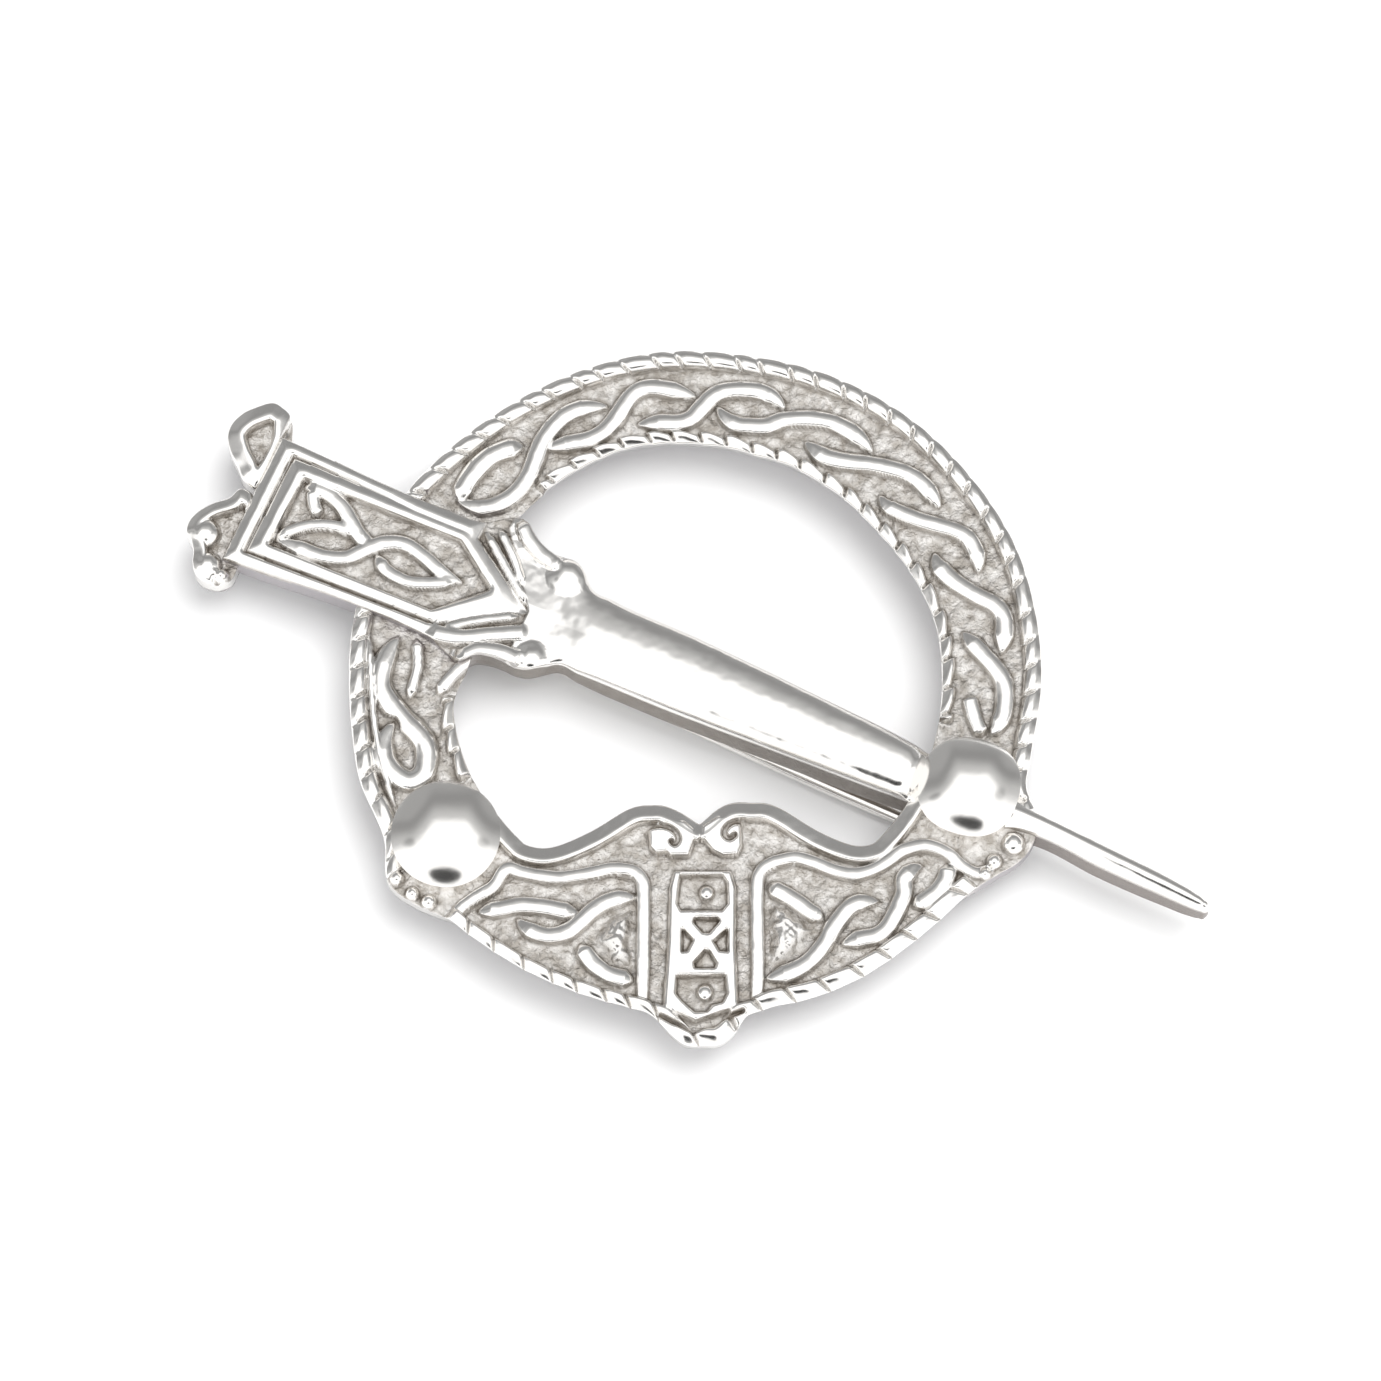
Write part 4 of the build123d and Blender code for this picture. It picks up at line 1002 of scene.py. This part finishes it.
# Bosses, pin, hinge and catch
def build_boss(name, centre, size, square):
    """A round boss: a spherical cap of height h over a short wall, so at a share x of its
    radius R it stands sqrt(Q^2 - (x R)^2) - (Q - h) high, where Q = (R^2 + h^2) / 2h; slightly
    square where R is swelled by square * cos(4 a)."""
    turn = circle(144)
    swell = size * (1 + square * np.cos(4 * (turn - 0.5)))
    ball = (size ** 2 + BOSS_CAP ** 2) / (2 * BOSS_CAP)
    x = np.sin(np.linspace(np.pi / 2, 0, 60))[:-1, None]
    share = np.vstack([[[0.3], [0.97], [1.0], [1.0], [1.0]], x])
    rise = np.sqrt(ball ** 2 - (x * size) ** 2) - (ball - BOSS_CAP)
    n = np.vstack([[[0.1], [0.1], [0.7], [BOSS_WALL - 0.06], [BOSS_WALL - 0.015]],
                   BOSS_WALL + rise])
    u = centre[0] + swell * share * np.cos(turn)
    v = centre[1] + swell * share * np.sin(turn)
    n = n + 0 * u
    n[5:] += 0.012 * grain(u[5:], v[5:], 1.3, 81)
    return skin(name, place(u, v, n), "brooch", "cast_silver", columns_closed=True,
                marks={"polish": 1.0, "sawn": 0.0})


def build_wire():
    """The pin's wire, turned about its own line, with a drawn tip."""
    tip = 17.32
    taper = tip - 6.5 * (1 - np.linspace(0, 1, 50)) ** 1.5
    s = np.concatenate([np.linspace(-12.0, 10.8, 40), taper])
    size = curve(((-12.1, WIRE), (0.0, WIRE), (10.82, WIRE), (14.7, 0.33), (16.6, 0.20),
                  (17.15, 0.13), (tip, 0.02)), s)
    w, n = polar(size[:, None], circle(40))
    return skin("pin_wire", around_pin(s[:, None] + 0 * w, w, n), "pin", "silver_wire",
                columns_closed=True)


def bored(name, reach, half, offset, bore, body, slot, top=None):
    """A plate across the pin round a bore: columns go round it and rows go round its section.
    It reaches so far from the bore's middle, is 2 * half thick, and is square above the bore
    where top gives a height."""
    turn = circle(96)
    limit = reach + 0 * turn
    if top:
        with np.errstate(divide="ignore"):
            square = np.minimum(reach / np.abs(np.cos(turn)), top / np.abs(np.sin(turn)))
        limit = np.where(np.sin(turn) > 0, square, limit)
    section = mirrored(((0, 0.3), (0, 1), (0.12, 1), (0.5, 1), (0.88, 1), (0.985, 0.97),
                        (1, 0.86), (1, 0.3)), 1)
    out, across = section[:, :1], section[:, 1:]
    s, n = polar(bore + (limit - bore) * out, turn)
    w = offset + half * across + 0 * s
    return skin(name, around_pin(HINGE_AT + s, w, n), body, slot, rows_closed=True,
                columns_closed=True, marks={"polish": 0.6, "sawn": 0.3})


def build_rivet():
    """The rivet, turned about the hinge's line, with two domed heads."""
    profile = mirrored(((-1.46, 0.30), (-1.44, 0.48), (-1.38, 0.57), (-1.28, 0.60),
                        (-1.262, 0.58), (-1.262, 0.35)), 0, [(0, 0.35)])
    s, n = polar(profile[:, 1:], circle(64))
    points = around_pin(HINGE_AT + s, profile[:, :1] + 0 * s, n)
    return skin("rivet", points, "brooch", "silver_wire", columns_closed=True)


def build_catch():
    """The open catch: one fork-shaped section with rounded corners, drawn along the pin, whose
    arms get thinner about their own middles at both ends."""
    section = mirrored(((-1.24, 1.6), (-1.24, -0.75), (-1.12, -0.96), (-0.88, -1.0),
                        (-0.62, -0.96), (-0.51, -0.8), (-0.51, 0.30), (-0.36, 0.50)), 0,
                       [(0, 0.55)])
    half_length, arm_at = 1.2, 0.88
    s = CATCH_AT + half_length * np.array([-1.0, -0.94, -0.5, 0.0, 0.5, 0.94, 1.0])
    scale = np.array([0.94, 1.0, 1.0, 1.0, 1.0, 1.0, 0.94])
    side = section[:, :1]
    middle = np.where(np.abs(side) > 0.6, np.sign(side) * arm_at, side)
    w = middle + (side - middle) * scale
    return skin("catch", around_pin(s + 0 * w, w, section[:, 1:] + 0 * w), "brooch",
                "cast_silver", rows_closed=True, marks={"polish": 0.5, "sawn": 0.5})


ring = build_ring()
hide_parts("brooch_casting")
build_crescent()
build_bar()
for name, parts in zip(("crown_upper", "crown_lower"), CROWN):
    build_crown(name, *parts)
build_point()
for boss in BOSSES:
    build_boss(*boss)
for side, name in ((-1, "cheek_near"), (1, "cheek_far")):
    bored(name, reach=1.0, half=0.325, offset=side * 0.915, bore=0.36, body="brooch",
          slot="cast_silver", top=1.6)
build_catch()
wire = build_wire()
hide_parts("pin_stem")
bored("pin_eye", reach=0.85, half=0.55, offset=0.0, bore=0.37, body="pin", slot="silver_wire")
rivet = build_rivet()
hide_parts("hinge_rivet")

# Studio
scene = bpy.context.scene
scene.view_settings.view_transform = "Standard"


def build_floor():
    """A pale matte table with no edge in sight."""
    half = 0.6
    mesh = bpy.data.meshes.new("table")
    mesh.from_pydata([(-half, -half, 0), (half, -half, 0), (half, half, 0), (-half, half, 0)], [],
                     [(0, 1, 2, 3)])
    floor = put("table", mesh)
    made, tree = new_material("matte white paper")
    paper = add(tree, "ShaderNodeBsdfDiffuse", {"Color": colour("#f6f6f6")})
    add(tree, "ShaderNodeOutputMaterial", {"Surface": paper.outputs[0]})
    mesh.materials.append(made)


def build_world():
    """The studio round the table, as shares of a brightness over the directions x, y and z:
    white overhead, grey on the far side and round the ends, two grey lamp stands at the sides,
    and one dark oval window on the near side, which shows in the silver as dark spots."""
    world = bpy.data.worlds.new("studio")
    world.use_nodes = True
    scene.world = world
    tree = world.node_tree
    tree.nodes.clear()

    def maths(kind, a, b=0.0):
        return add(tree, "ShaderNodeMath", {0: a, 1: b}, operation=kind).outputs[0]

    def ramp(value, low, high, start, stop):
        return add(tree, "ShaderNodeMapRange",
                   {"Value": value, "From Min": low, "From Max": high, "To Min": start,
                    "To Max": stop}, interpolation_type="SMOOTHSTEP").outputs["Result"]

    towards = add(tree, "ShaderNodeTexCoord").outputs["Generated"]
    split = add(tree, "ShaderNodeSeparateXYZ", {"Vector": towards}).outputs
    x, y, z = split["X"], split["Y"], split["Z"]
    aside = maths("ABSOLUTE", maths("SUBTRACT", x, 0.08))
    round_side = maths("ADD", ramp(aside, 0.25, 0.85, 0.0, 0.50), y)
    far = ramp(round_side, 0.35, 0.54, 1.0, 0.47)
    for shade in ((0.54, 0.86, 1.0, 0.50), (0.88, 1.02, 1.0, 1.3)):
        far = maths("MULTIPLY", far, ramp(round_side, *shade))
    stand_at, window_at, window_half = 0.76, (-0.04, 0.645), (0.33, 0.14)
    beside = maths("SUBTRACT", maths("ABSOLUTE", x), stand_at)
    stand = maths("ADD", maths("MULTIPLY", beside, beside), maths("MULTIPLY", y, y))
    stands = ramp(stand, 0.004, 0.014, 0.55, 1.0)
    across = maths("MULTIPLY", maths("SUBTRACT", x, window_at[0]), 1 / window_half[0])
    up = maths("MULTIPLY", maths("SUBTRACT", z, window_at[1]), 1 / window_half[1])
    spot = maths("ADD", maths("MULTIPLY", across, across), maths("MULTIPLY", up, up))
    window = ramp(spot, 0.75, 1.15, 0.03, 1.0)
    window = maths("MAXIMUM", window, ramp(y, -0.3, -0.1, 0.0, 1.0))
    level = maths("MULTIPLY", maths("MULTIPLY", far, stands), window)
    glow = maths("MULTIPLY", level, 1.25)
    back = add(tree, "ShaderNodeBackground", {"Color": colour("#ffffff"), "Strength": glow})
    add(tree, "ShaderNodeOutputWorld", {"Surface": back.outputs[0]})


def look(thing, target):
    """Turns a lamp or a camera towards a place."""
    thing.rotation_euler = (target - thing.location).to_track_quat("-Z", "Y").to_euler()


def build_key():
    """A large soft lamp above and behind the right side, for the soft shadow."""
    data = bpy.data.lights.new("key", "AREA")
    data.shape = "DISK"
    data.size = 0.45
    data.energy = 2.2
    lamp = put("key", data)
    lamp.location = (0.14, 0.14, 0.52)
    lamp.visible_glossy = False
    look(lamp, Vector((0, 0, 0)))


def build_camera():
    """A long lens 450 mm away, 15.4 degrees off straight down, at the photo's framing."""
    tilt, distance = np.radians(15.4), 0.450
    aim = Vector((0.0000685, 0.00048, 0.0040))
    photo_width = 1381
    data = bpy.data.cameras.new("camera")
    data.sensor_width = 36.0
    data.lens = 214.67
    data.shift_x = -5.5 / photo_width
    data.shift_y = -4.5 / photo_width
    data.clip_start = 0.01
    camera = put("camera", data)
    camera.location = aim + distance * Vector((0, -np.sin(tilt), np.cos(tilt)))
    look(camera, aim)
    scene.camera = camera


build_floor()
build_world()
build_key()
build_camera()
